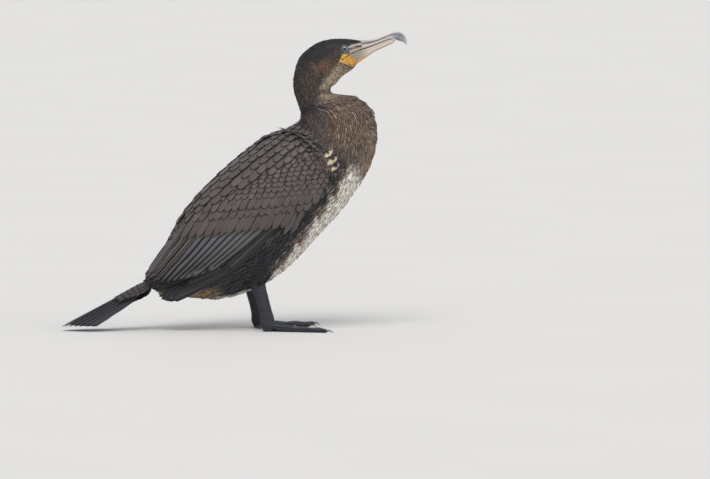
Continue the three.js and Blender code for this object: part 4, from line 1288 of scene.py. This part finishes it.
def flight_feathers(inner, outer, side):
    """Lays the tertials into one collection and the other flight feathers into another."""
    count = len(SECONDARIES["tips"])
    first, last = (np.array(end, float) for end in SECONDARIES["roots"])
    for k, (tip, width) in enumerate(zip(SECONDARIES["tips"], SECONDARIES["width"])):
        share = k / (count - 1)
        root = first + (last - first) * share
        tip_out = unit(np.array([-0.45 * (1 - share), side * (0.55 + 0.45 * share), 0.7 - 0.6 * share]))
        tints = TERTIAL_TINTS if k < TERTIALS else FLIGHT_TINTS if k < count - 1 else PRIMARY_TINTS
        vanes = inner if k < TERTIALS else outer
        stack = SECONDARIES["stack"] * (count - 1 - k)
        flight_feather(vanes, side, root, tip, width, SECONDARIES["clear"], stack, tints, tip_out)
    for k, (root, tip) in enumerate(zip(PRIMARIES["roots"], PRIMARIES["tips"])):
        tip_out = unit(np.array([0, side, 0.25]))
        stack, clear = PRIMARIES["stack"] * (3 - k), PRIMARIES["clear"]
        flight_feather(outer, side, root, tip, PRIMARIES["width"], clear, stack, PRIMARY_TINTS, tip_out)


# %% Both wings
wings = {}
for side_name, side in SIDES.items():
    tertials, flights, coverts = Vanes(rows=15, columns=7), Vanes(rows=15, columns=7), Vanes()
    flight_feathers(tertials, flights, side)
    for line in COVERT_ROWS:
        covert_row(coverts, side, *line)
    scapulars(coverts, side)
    wings[side_name] = [
        flights.mesh("flight_feathers_" + side_name, QUILL),
        tertials.mesh("tertial_feathers_" + side_name, EDGED),
        coverts.mesh("covert_feathers_" + side_name, COVERT),
    ]

# %% [markdown]
# ### The tail
# Fourteen stiff feathers make the wedge of the tail. They lie in a low arch, the middle pair longest and on
# top, and they start from a fleshy root that small feathers hide.

# %% The arch of the tail, in millimetres
TAIL = {
    "root": (-130, 74), "tip": (-258, 6.5), "per_side": 7, "arches": (15, 34), "shortest": 0.74,
    "spread": 8.6,  # degrees from one feather to the next
    "sink": 0.8,  # how far each lies under its inner neighbour
    "width": 12.5 * MM, "thick": 0.4 * MM, "tilt": 0.8 * MM,
}
TAIL_TINTS = [colour("24252b"), colour("85868a")]


def tail_places(turn, share, sink, steps=7):
    """A line down the tail at an angle round its arch, as points and the ways out."""
    root, tip = np.array(TAIL["root"], float), np.array(TAIL["tip"], float)
    along = (tip - root) / np.linalg.norm(tip - root)
    up = np.array([along[1], -along[0]])
    points, outs = [], []
    for t in np.linspace(0, 1, steps):
        radius = TAIL["arches"][0] * (1 - t) + TAIL["arches"][1] * t
        out = np.array([up[0] * math.cos(turn), math.sin(turn), up[1] * math.cos(turn)])
        spot = root + along * np.linalg.norm(tip - root) * share * t + up * radius * (math.cos(turn) - 1)
        point = np.array([spot[0], radius * math.sin(turn), spot[1]]) - out * sink
        points.append(point * MM)
        outs.append(out)
    return points, outs


print("the tail is", round(math.dist(TAIL["root"], TAIL["tip"])), "mm long")

# %% The tail's feathers
tail_vanes = Vanes(rows=17, columns=7)
for k in range(TAIL["per_side"] * 2):
    place = k - TAIL["per_side"] + 0.5
    outward = (abs(place) - 0.5) / (TAIL["per_side"] - 1)
    share = 1 + (TAIL["shortest"] - 1) * outward**1.3
    sink = TAIL["sink"] * outward * (TAIL["per_side"] - 1)
    points, outs = tail_places(math.radians(place * TAIL["spread"]), share, sink)
    side = RIGHT if place < 0 else LEFT
    bake = np.array([0.3 + 0.03 * k, 0.5])
    shade = rng.normal(1, 0.05)
    tail_vanes.lay(points, outs, TAIL["width"], TAIL["thick"], side * TAIL["tilt"], bake, TAIL_TINTS, shade,
                   tip=0.06, root=0.45, lean=-side * 0.15, cup=0.04)
tail_piece = tail_vanes.mesh("tail_feathers", EDGED)

# %% The tail's coverts, above and below
TAIL_COVERT_ROWS = [
    # share of the tail's length, how many, half the fan in degrees
    (0.38, 9, 34), (0.31, 10, 38), (0.25, 11, 42), (0.19, 11, 44), (0.13, 11, 46),
]
TAIL_COVERT = {"thick": 0.25 * MM, "tip": 0.35, "above": 10 * MM, "below": 11 * MM}
ABOVE_TINTS = [colour("38322f"), colour("1f1c1b")]
BELOW_TINTS = [colour("19181a"), colour("28272a")]
tail_coverts = Vanes()
for share, count, fan in TAIL_COVERT_ROWS:
    for k in range(count):
        turn = math.radians(-fan + 2 * fan * (k + rng.uniform(-0.15, 0.15)) / (count - 1))
        points, outs = tail_places(turn, share * rng.uniform(0.95, 1.05), 0)
        rise = np.linspace(0.6, 2.6 - 3 * share, 7) * MM
        lifted = [p + o * r for p, o, r in zip(points, outs, rise)]
        bake = np.array([0.1 + 0.03 * k, share])
        thick, tip, shade = TAIL_COVERT["thick"], TAIL_COVERT["tip"], rng.normal(1, 0.08)
        tail_coverts.lay(lifted, outs, TAIL_COVERT["above"], thick, 0, bake, ABOVE_TINTS, shade, tip=tip)
        low = [p - o * (6 + 10 * share) * MM for p, o in zip(points, outs)]
        bake = bake + [0.4, 0]
        low_outs = [-o for o in outs]
        tail_coverts.lay(low, low_outs, TAIL_COVERT["below"], thick, 0, bake, BELOW_TINTS, 1.0, tip=tip)
tail_covert_piece = tail_coverts.mesh("tail_covert_feathers", COVERT)

# %% [markdown]
# ## The bill
# The bill is a long horn cone with a hook. A groove runs along each side from the face to the nail at the
# tip, where it meets the cutting edge. Each half is swept through cross-sections, as on the solid, but with
# many more of them. The upper half is grey and pale along its ridge, and the lower half is a pale pinkish
# cream.

# %% Cross-sections of the bill, in millimetres
UPPER_BILL = np.array([
    # upper point x and z, lower point x and z, half the width
    [186, 433, 183, 418.5, 11.6], [200.5, 434, 199, 422.6, 9.4], [212, 435.6, 210, 426.6, 7.5],
    [222.5, 439, 219.5, 430, 6.4], [231, 442.6, 228.5, 433.6, 5.9], [237.5, 445, 236.5, 436, 5.9],
    [244, 446.3, 242.5, 434, 5.8], [250, 445.4, 246.5, 432.5, 5.3], [255.6, 441.8, 250, 431.8, 4.4],
    [259, 436.8, 253, 431, 3.3], [260, 431.5, 256, 429, 2.1], [259.3, 425.8, 258, 426.4, 0.8],
])
LOWER_BILL = np.array([
    [179, 416.5, 180, 394.5, 12], [199, 422.1, 199.5, 408.2, 9.4], [210, 426.1, 211, 416, 7.4],
    [219.5, 429.5, 221.5, 420.8, 6.2], [228.5, 433.1, 230.5, 424.8, 5.4], [235.5, 435.2, 237, 427.8, 4.6],
    [241.3, 433.2, 241.8, 430.6, 2.6],
])
UPPER_RING = np.array([
    [0, 0], [0.28, 0.03], [0.46, 0.12], [0.58, 0.24], [0.6, 0.33], [0.56, 0.38], [0.66, 0.45], [0.86, 0.55],
    [0.98, 0.7], [1, 0.84], [0.93, 0.97], [0.5, 0.99], [0, 0.97],
])
LOWER_RING = np.array([
    [0, 0.03], [0.5, 0.0], [0.88, 0.02], [0.98, 0.14], [1, 0.3], [0.95, 0.52], [0.8, 0.76], [0.5, 0.93],
    [0, 1],
])
print("the bill is swept through", len(UPPER_BILL), "and", len(LOWER_BILL), "cross-sections")


# %% A sweep through cross-sections
def closed_mesh(name, points, faces):
    """A mesh whose faces are turned to point outwards."""
    mesh = bpy.data.meshes.new(name)
    mesh.from_pydata(points.tolist(), [], faces)
    work = bmesh.new()
    work.from_mesh(mesh)
    bmesh.ops.recalc_face_normals(work, faces=work.faces)
    work.to_mesh(mesh)
    work.free()
    return mesh


def swept(name, table, ring, rounds, steps, tints, material):
    """A closed tube through the table. The ring holds shares of the width and of the depth."""
    fine = spline(ring, np.linspace(0, len(ring) - 1, rounds))
    ring_points = np.vstack([fine * [-1, 1], (fine * [1, 1])[-2:0:-1]])
    stations = spline(table, np.linspace(0, len(table) - 1, steps))
    count = len(ring_points)
    x = stations[:, 0:1] * (1 - ring_points[:, 1]) + stations[:, 2:3] * ring_points[:, 1]
    z = stations[:, 1:2] * (1 - ring_points[:, 1]) + stations[:, 3:4] * ring_points[:, 1]
    y = stations[:, 4:5] * ring_points[:, 0]
    points = np.stack([x, y, z], -1).reshape(-1, 3) * MM
    faces = []
    for i in range(steps - 1):
        for j in range(count):
            a, b = i * count + j, i * count + (j + 1) % count
            faces.append([a, b, b + count, a + count])
    faces.append(list(range(count))[::-1])
    faces.append([(steps - 1) * count + j for j in range(count)])
    mesh = closed_mesh(name, points, faces)
    down = np.tile(ring_points[:, 1], steps)
    put(mesh, "Tint", "FLOAT_COLOR", tints(points[:, 0] / MM, down))
    print(name, "has", len(faces), "faces")
    return covered_with(placed(name, mesh), material)


# %% The tints of the horn and its painted shade, by x and by how far down its side
def layered(base, *layers):
    """Tints laid over one another. Each layer is a colour and its share at every point."""
    tints = np.broadcast_to(colour(base), (len(layers[0][1]), 3)).copy()
    for code, share in layers:
        tints = tints * (1 - share[:, None]) + colour(code) * share[:, None]
    return tints


def upper_tints_and_shade(x, down):
    nail = ramp(x, 233, 243)
    return layered(
        "8d8787",
        ("c9c4bf", ramp(-down, -0.24, -0.04)),
        ("a4968c", ramp(-x, -206, -190)),
        # painted shade: a dark line in the groove along the side
        ("423b3a", np.exp(-(((down - 0.37) / 0.07) ** 2)) * (1 - nail)),
        ("b7a89d", ramp(down, 0.45, 0.62) * (1 - nail)),
        ("6e6e77", nail * 0.85 * ramp(down, 0.04, 0.16)),
        ("cfcac4", ramp(x, 252, 260) * 0.8),
        # painted shade: the dark lower edge of the upper half, in the gap of the mouth
        ("372f2c", ramp(down, 0.93, 0.98) * (1 - nail)),
    )


def lower_tints_and_shade(x, down):
    return layered(
        "c4b4a3",
        # painted shade: the dark upper edge of the lower half, in the gap of the mouth
        ("43392f", ramp(-down, -0.07, -0.01)),
        ("d8cbbb", ramp(down, 0.2, 0.5) * ramp(-down, -0.85, -0.6)),
        ("a4968c", ramp(-x, -204, -188)),
        # painted shade: a warm shadow along the underside of the lower half
        ("a98752", ramp(down, 0.8, 0.95)),
        ("dda43a", ramp(down, 0.55, 0.85) * ramp(-x, -206, -190)),
    )


print("the bill's ridge is", upper_tints_and_shade(np.array([215.0]), np.array([0.0]))[0].round(2), "at its middle")

# %% The finish of the horn, and both halves of the bill
HORN, tree, shader = new_material("bill_horn", 0.38, coat=0.12)
growth = noise(tree, 240.0, 6.0, (0.3, 2.5, 2.5))
specks = noise(tree, 1100.0, 4.0, (0.6, 1, 1))
horn_colour = attribute(tree, "Tint").outputs["Color"]
pale_streaks = maths(tree, "MULTIPLY", smooth_step(tree, growth, 0.45, 0.75), 0.4)
horn_colour = blended(tree, pale_streaks, horn_colour, colour("d3cdc6"))
dark_specks = maths(tree, "MULTIPLY", smooth_step(tree, specks, 0.54, 0.74), 0.45)
horn_colour = blended(tree, dark_specks, horn_colour, colour("4d4542"))
link(tree, horn_colour, shader.inputs["Base Color"])
bump(tree, shader, growth, 0.3, 0.4 * MM)
bill_upper = swept("upper_bill", UPPER_BILL, UPPER_RING, 40, 90, upper_tints_and_shade, HORN)
bill_lower = swept("lower_bill", LOWER_BILL, LOWER_RING, 30, 60, lower_tints_and_shade, HORN)

# %% [markdown]
# ## The eyes
# The iris of a young bird is a pale grey-green, set in a ring of small dark beads of skin. The ball is one
# sphere whose colours are rings round its own axis, under a clear wet coat.

# %% The ball and its colours
EYE = {"radius": 6.1 * MM, "pupil": 2.2 * MM, "iris": 4.9 * MM, "points": (27, 48)}


def eye_material(name, centre):
    """Rings of colour round the eye's own axis, in object coordinates."""
    material, tree, shader = new_material(name, 0.08, coat=1.0)
    shader.inputs["Coat Roughness"].default_value = 0.02
    where = tree.nodes.new("ShaderNodeTexCoord")
    mapping = tree.nodes.new("ShaderNodeMapping")
    mapping.inputs["Location"].default_value = (-centre[0], 0, -centre[2])
    mapping.inputs["Scale"].default_value = (1, 0, 1)
    link(tree, where.outputs["Object"], mapping.inputs["Vector"])
    length = tree.nodes.new("ShaderNodeVectorMath")
    length.operation = "LENGTH"
    link(tree, mapping.outputs[0], length.inputs[0])
    radius = length.outputs["Value"]
    fibres = noise(tree, 1600.0, 4.0, (1, 0.2, 1))
    iris = blended(tree, smooth_step(tree, fibres, 0.35, 0.7), colour("3f4f4f"), colour("6b7f7c"))
    rim = smooth_step(tree, radius, EYE["iris"] * 0.75, EYE["iris"])
    iris = blended(tree, rim, iris, colour("2d3635"))
    inner = smooth_step(tree, radius, EYE["pupil"] + 0.25 * MM, EYE["pupil"] - 0.1 * MM)
    link(tree, blended(tree, inner, iris, colour("050506")), shader.inputs["Base Color"])
    return material


def ball(name, centre, radius, material):
    """A sphere with its poles on the axis that runs across the head."""
    rings, around = EYE["points"]
    slant = np.linspace(0, math.pi, rings + 2)[1:-1, None]
    turn = np.linspace(0, 2 * math.pi, around, endpoint=False)
    x, y, z = np.sin(slant) * np.cos(turn), np.cos(slant) + 0 * turn, np.sin(slant) * np.sin(turn)
    points = np.vstack([np.stack([x, y, z], -1).reshape(-1, 3), [[0, 1, 0], [0, -1, 0]]])
    first, last = rings * around, rings * around + 1  # the two poles
    faces = []
    for j in range(around):
        k = (j + 1) % around
        faces.append([first, k, j])
        for ring in range(0, (rings - 1) * around, around):
            faces.append([ring + j, ring + k, ring + around + k, ring + around + j])
        faces.append([last, (rings - 1) * around + j, (rings - 1) * around + k])
    mesh = closed_mesh(name, points * radius + np.array(centre), faces)
    return covered_with(placed(name, mesh), material)


print("an eyeball is", round(EYE["radius"] * 2 / MM, 1), "mm across")

# %% The lids
LID, tree, shader = new_material("eyelid_skin", 0.5)
link(tree, blended(tree, noise(tree, 900.0), colour("3a3b3c"), colour("8b8e8b")), shader.inputs["Base Color"])
bump(tree, shader, noise(tree, 2500.0), 0.5, 0.3 * MM)
LIDS = {
    "radius": 5.6 * MM, "thick": 0.85 * MM, "beads": 30,
    "bead_height": 0.16, "flatness": 0.96, "lean": -0.14, "points": (104, 12),
}


def lid_ring(name, centre, side, surface_y):
    """A ring round the ball, beaded like the skin of the real lid."""
    around, section = LIDS["points"]
    angle = np.linspace(0, 2 * math.pi, around, endpoint=False)
    turn = np.linspace(0, 2 * math.pi, section, endpoint=False)
    bead = 1 + LIDS["bead_height"] * np.cos(LIDS["beads"] * angle)
    thick = LIDS["thick"] * bead
    reach = LIDS["radius"] + thick[:, None] * np.cos(turn)
    x = centre[0] + reach * np.cos(angle)[:, None]
    z = centre[2] + reach * np.sin(angle)[:, None] * LIDS["flatness"]
    lean = (x - centre[0]) * LIDS["lean"]
    y = side * (surface_y + thick[:, None] * np.sin(turn) * 0.9 + lean)
    points = np.stack([x, y, z], -1).reshape(-1, 3)
    faces = []
    for i in range(around):
        for j in range(section):
            a, b = i * section + j, i * section + (j + 1) % section
            c, d = ((i + 1) % around) * section + (j + 1) % section, ((i + 1) % around) * section + j
            faces.append([a, b, c, d])
    return covered_with(placed(name, closed_mesh(name, points, faces)), LID)


print("a lid has", LIDS["beads"], "beads")


# %% Both eyes
LID_INSET = 2.4 * MM  # how far behind the ball's outermost point the lid's ring lies
eyes, lids = [], []
for side_name, side in SIDES.items():
    low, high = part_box("eye_" + side_name)
    centre = list((low + high) / 2)
    eye = ball("eyeball_" + side_name, centre, EYE["radius"], eye_material("eye_" + side_name, centre))
    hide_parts("eye_" + side_name)
    eyes.append(eye)
    outermost = abs(centre[1]) + EYE["radius"]
    lids.append(lid_ring("eyelid_" + side_name, centre, side, outermost - LID_INSET))
print("the eyes stand", round(abs(centre[1]) / MM, 1), "mm from the middle of the head")

# %% [markdown]
# ## Legs and feet
# Each foot has four long toes joined by one web. Copies of the solids are grown together and remeshed
# finely, which rounds them like skin over bone. Small netted scales cover the leg and the web, as bump.
# Across the top of each toe lie plates, which are shapes of their own.

# %% The finish of the feet
FOOT, tree, shader = new_material("foot_skin", 0.5, specular=0.4)
cells = tree.nodes.new("ShaderNodeTexVoronoi")
cells.feature = "DISTANCE_TO_EDGE"
cells.inputs["Scale"].default_value = 620.0
where = tree.nodes.new("ShaderNodeTexCoord")
link(tree, where.outputs["Object"], cells.inputs["Vector"])
scale_height = smooth_step(tree, cells.outputs["Distance"], 0.0, 0.25)
tone = blended(tree, noise(tree, 60.0, 5.0), colour("24262c"), colour("4a4e57"))
link(tree, blended(tree, scale_height, colour("17181b"), tone), shader.inputs["Base Color"])
bump(tree, shader, scale_height, 0.7, 0.5 * MM)
CLAW, tree, shader = new_material("claw_horn", 0.3, coat=0.2)
tone = blended(tree, noise(tree, 500.0, 4.0, (1, 1, 3)), colour("141315"), colour("3b3634"))
link(tree, tone, shader.inputs["Base Color"])
print("the finishes are", FOOT.name, "and", CLAW.name)

# %% Feet and legs in one skin a side
LEG = {"voxel": 0.75 * MM, "grow": 0.3 * MM, "sole": 1.2 * MM}
feet = []
for side_name in SIDES:
    nodes = ["foot_" + side_name, "shank_" + side_name]
    foot = remeshed(nodes, LEG["voxel"], LEG["grow"], "leg_skin_" + side_name)
    points = points_of(foot.data)
    relax(foot.data, 4, np.where(points[:, 2] < LEG["sole"], 0.2, 0.5))
    points = points_of(foot.data)
    points[:, 2] = np.maximum(points[:, 2], 0)
    move_points(foot.data, points)
    covered_with(foot, FOOT)
    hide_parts("foot_" + side_name, "shank_" + side_name)
    feet.append(foot)
    print(foot.name, "has", len(foot.data.polygons), "faces")

# %% One plate, arched over a toe whose radius is one millimetre
def arched_plate(name, length, arch):
    """A closed plate along X. Scaling its Y and Z by a toe's radius fits it to the toe."""
    rows, columns = 4, 7
    t = np.linspace(0, 1, rows)
    angle = np.radians(np.linspace(-arch, arch, columns))
    faces, low = lens_faces(rows, columns)
    bulge = 1 + 0.05 * np.sin(math.pi * t)[:, None]
    bow = 0.25 * MM * np.tile(np.cos(angle * 1.3), rows)
    x = np.repeat(t * length, columns) + bow * np.repeat(t, columns)
    y = (np.sin(angle) * bulge).ravel() * MM
    z = (np.cos(angle) * bulge - 1).ravel() * MM
    top = np.stack([x, y, z], 1)
    bottom = np.array([top[i * columns + j] - [0, 0, 0.1 * MM] for i, j in low])
    points = np.vstack([top, bottom])
    mesh = bpy.data.meshes.new(name)
    mesh.from_pydata(points.tolist(), [], faces)
    own_map = points[:, :2] / MM
    put_map(mesh, "Vane", own_map[np.array([index for face in faces for index in face])])
    mesh.shade_smooth()
    return placed(name, mesh)


print("a plate has", len(lens_faces(4, 7)[0]), "faces")

# %% [markdown]
# ### Plates on the toes
# A row of broad plates runs along the top of each toe and down the front of the leg. They could be painted
# as bump, but their edges catch the light, so each is a small arched shape. The places are found by looking
# down on the finished skin of the foot, and the tree that dresses the coat sets the plates on them too.

# %% Rows of plates along the toes and down the front of the leg
TOES = [(-92, 27, 4.2), (-26, 52, 4.6), (1, 76, 5.0), (21, 90, 5.2)]  # degrees outward, length, radius
TOE_JOINT = (48, 40)  # x and depth of the joint that the toes leave, in millimetres
SHANK = {"low": 16, "height": 51, "back": 14, "inward": 6}  # how the leg leans from the joint to the heel
LEG_SHIFT = {"right": 0, "left": -8}
PLATES = {"pitch": 2.4, "length": 3.0 * MM, "arch": 60, "leg": (24, 60), "leg_radius": 6.6}
PLATE_SKIN, tree, shader = new_material("plate_skin", 0.42, specular=0.45)
tone = blended(tree, noise(tree, 90.0, 5.0), colour("23252b"), colour("4c505a"))
link(tree, tone, shader.inputs["Base Color"])
bump(tree, shader, noise(tree, 2200.0, 5.0), 0.35, 0.2 * MM)


def plate_roots(foot, side_name):
    """The places of the plates on one leg: point, way out, way along, radius."""
    side = SIDES[side_name]
    leg = tree_of(foot.data)
    start = np.array([TOE_JOINT[0] + LEG_SHIFT[side_name], side * TOE_JOINT[1]])
    roots = []
    for degrees, length, radius in TOES:
        ahead = np.array([math.cos(math.radians(degrees)), side * math.sin(math.radians(degrees))])
        for reach in np.arange(7, length - 1.5, PLATES["pitch"]):
            x, y = start + ahead * reach
            high = 14 if reach > 16 else 30
            hit, out, _, _ = leg.ray_cast(Vector((x * MM, y * MM, high * MM)), Vector((0, 0, -1)))
            if hit is not None and out.z > 0.75:
                slim = 1 - 0.25 * reach / length
                roots.append((np.array(hit), np.array(out), np.array([*ahead, 0]), radius * slim))
    for z in np.arange(*PLATES["leg"], PLATES["pitch"] * 1.25):
        up = (z - SHANK["low"]) / SHANK["height"]
        x = TOE_JOINT[0] - SHANK["back"] * up + LEG_SHIFT[side_name]
        y = side * (TOE_JOINT[1] - SHANK["inward"] * up)
        hit, out, _, _ = leg.ray_cast(Vector(((x + 30) * MM, y * MM, z * MM)), Vector((-1, 0, 0)))
        if hit is not None:
            roots.append((np.array(hit), np.array(out), np.array([0.25, 0, -1]), PLATES["leg_radius"]))
    return roots


plate = arched_plate("plate", PLATES["length"], PLATES["arch"])
plates = []
for side_name, foot in zip(SIDES, feet):
    roots = plate_roots(foot, side_name)
    mesh = bpy.data.meshes.new("plate_roots")
    mesh.from_pydata([tuple(r[0] + r[1] * 0.2 * MM) for r in roots], [], [])
    put(mesh, "out", "FLOAT_VECTOR", [r[1] for r in roots])
    put(mesh, "along", "FLOAT_VECTOR", [r[2] for r in roots])
    put(mesh, "size", "FLOAT_VECTOR", [(1, r[3], r[3]) for r in roots])
    put(mesh, "root_uv", "FLOAT_VECTOR", [(0.01 + 0.004 * k, 0.5, 0) for k in range(len(roots))])
    source = placed("plate_roots", mesh)
    plates.append(dress(source, "toe_plates_" + side_name, plate, 3, 2, 5, PLATE_SKIN))
    print(plates[-1].name, "has", len(roots), "plates")
bpy.data.objects.remove(plate)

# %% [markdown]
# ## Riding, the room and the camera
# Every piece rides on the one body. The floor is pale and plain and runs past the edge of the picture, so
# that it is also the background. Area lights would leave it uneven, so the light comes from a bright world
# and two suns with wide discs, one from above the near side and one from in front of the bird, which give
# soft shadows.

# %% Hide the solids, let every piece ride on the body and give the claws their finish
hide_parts(*FLESH)
for side_name, pieces in wings.items():
    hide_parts("wing_" + side_name)
wing_pieces = [piece for pieces in wings.values() for piece in pieces]
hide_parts("tail")
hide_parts("bill_upper")
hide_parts("bill_lower")
horn_pieces = [bill_upper, bill_lower]
feather_pieces = [*coats, *wing_pieces, tail_piece, tail_covert_piece]
for piece in [skin, *feather_pieces, *horn_pieces, *eyes, *lids, *feet, *plates]:
    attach(piece, "root")
for name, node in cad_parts.items():
    if name.startswith("claw_"):
        node.data.materials.clear()
        node.data.materials.append(CLAW)
print(len(feather_pieces), "of the pieces are feathers")

# %% Floor and light
FLOOR = {"size": 90.0, "colours": ("d9d6d0", "dedbd6")}
SKY = {"colour": (0.9, 0.93, 1.0, 1), "strength": 0.62}
SUNS = {
    # the way towards it, the width of its disc in degrees, its power
    "key": ((-0.2, -1.0, 1.5), 35, 1.7),
    "front": ((1.4, -0.5, 0.7), 50, 0.7),
}
bpy.ops.mesh.primitive_plane_add(size=FLOOR["size"])
floor = bpy.context.object
floor.name = "floor"
material, tree, shader = new_material("floor", 0.8, specular=0.2)
tone = blended(tree, noise(tree, 3.0), *[colour(code) for code in FLOOR["colours"]])
link(tree, tone, shader.inputs["Base Color"])
floor.data.materials.append(material)

scene = bpy.context.scene
world = bpy.data.worlds.new("room")
world.use_nodes = True
background = world.node_tree.nodes["Background"]
background.inputs["Color"].default_value = SKY["colour"]
background.inputs["Strength"].default_value = SKY["strength"]
scene.world = world


def soft_sun(name, place, spread, power):
    """Even light from a direction. A wide spread gives a soft shadow."""
    data = bpy.data.lights.new(name, "SUN")
    data.angle = math.radians(spread)
    data.energy = power
    lamp = bpy.data.objects.new(name, data)
    lamp.rotation_euler = Vector(place).to_track_quat("Z", "Y").to_euler()
    bpy.context.collection.objects.link(lamp)


for name, sun in SUNS.items():
    soft_sun(name, *sun)
print("the lights are", ", ".join(SUNS))

# %% [markdown]
# ### The camera
# A long lens from far away keeps the bird's proportions, as the photo does. The camera is almost level and
# a little behind the bird's side. Its lens follows from the size of one pixel at the bird, so the framing
# is worked out and not tried out.

# %% The camera
PIXEL = 1.5 * MM  # the size of one pixel of the picture, at the bird
PICTURE = (710, 479)
FLOOR_LINE, BODY_LINE = 329, 234  # the picture's row of the floor and column of the bird's middle
VIEW = {"azimuth": -5, "elevation": 4, "distance": 12.0, "sensor": 36.0}
azimuth, elevation = math.radians(VIEW["azimuth"]), math.radians(VIEW["elevation"])
back = Vector((
    math.sin(azimuth) * math.cos(elevation), -math.cos(azimuth) * math.cos(elevation), math.sin(elevation)
))
aim = Vector(((PICTURE[0] / 2 - BODY_LINE) * PIXEL, 0, (FLOOR_LINE - PICTURE[1] / 2) * PIXEL))
camera_data = bpy.data.cameras.new("camera")
camera_data.sensor_width = VIEW["sensor"]
camera_data.lens = VIEW["sensor"] * VIEW["distance"] / (PICTURE[0] * PIXEL)
camera_data.clip_end = 200
camera = bpy.data.objects.new("camera", camera_data)
camera.location = aim + back * VIEW["distance"]
camera.rotation_euler = (-back).to_track_quat("-Z", "Y").to_euler()
bpy.context.collection.objects.link(camera)
scene.camera = camera
scene.view_settings.view_transform = "Standard"
print("the lens is", round(camera_data.lens), "mm long")
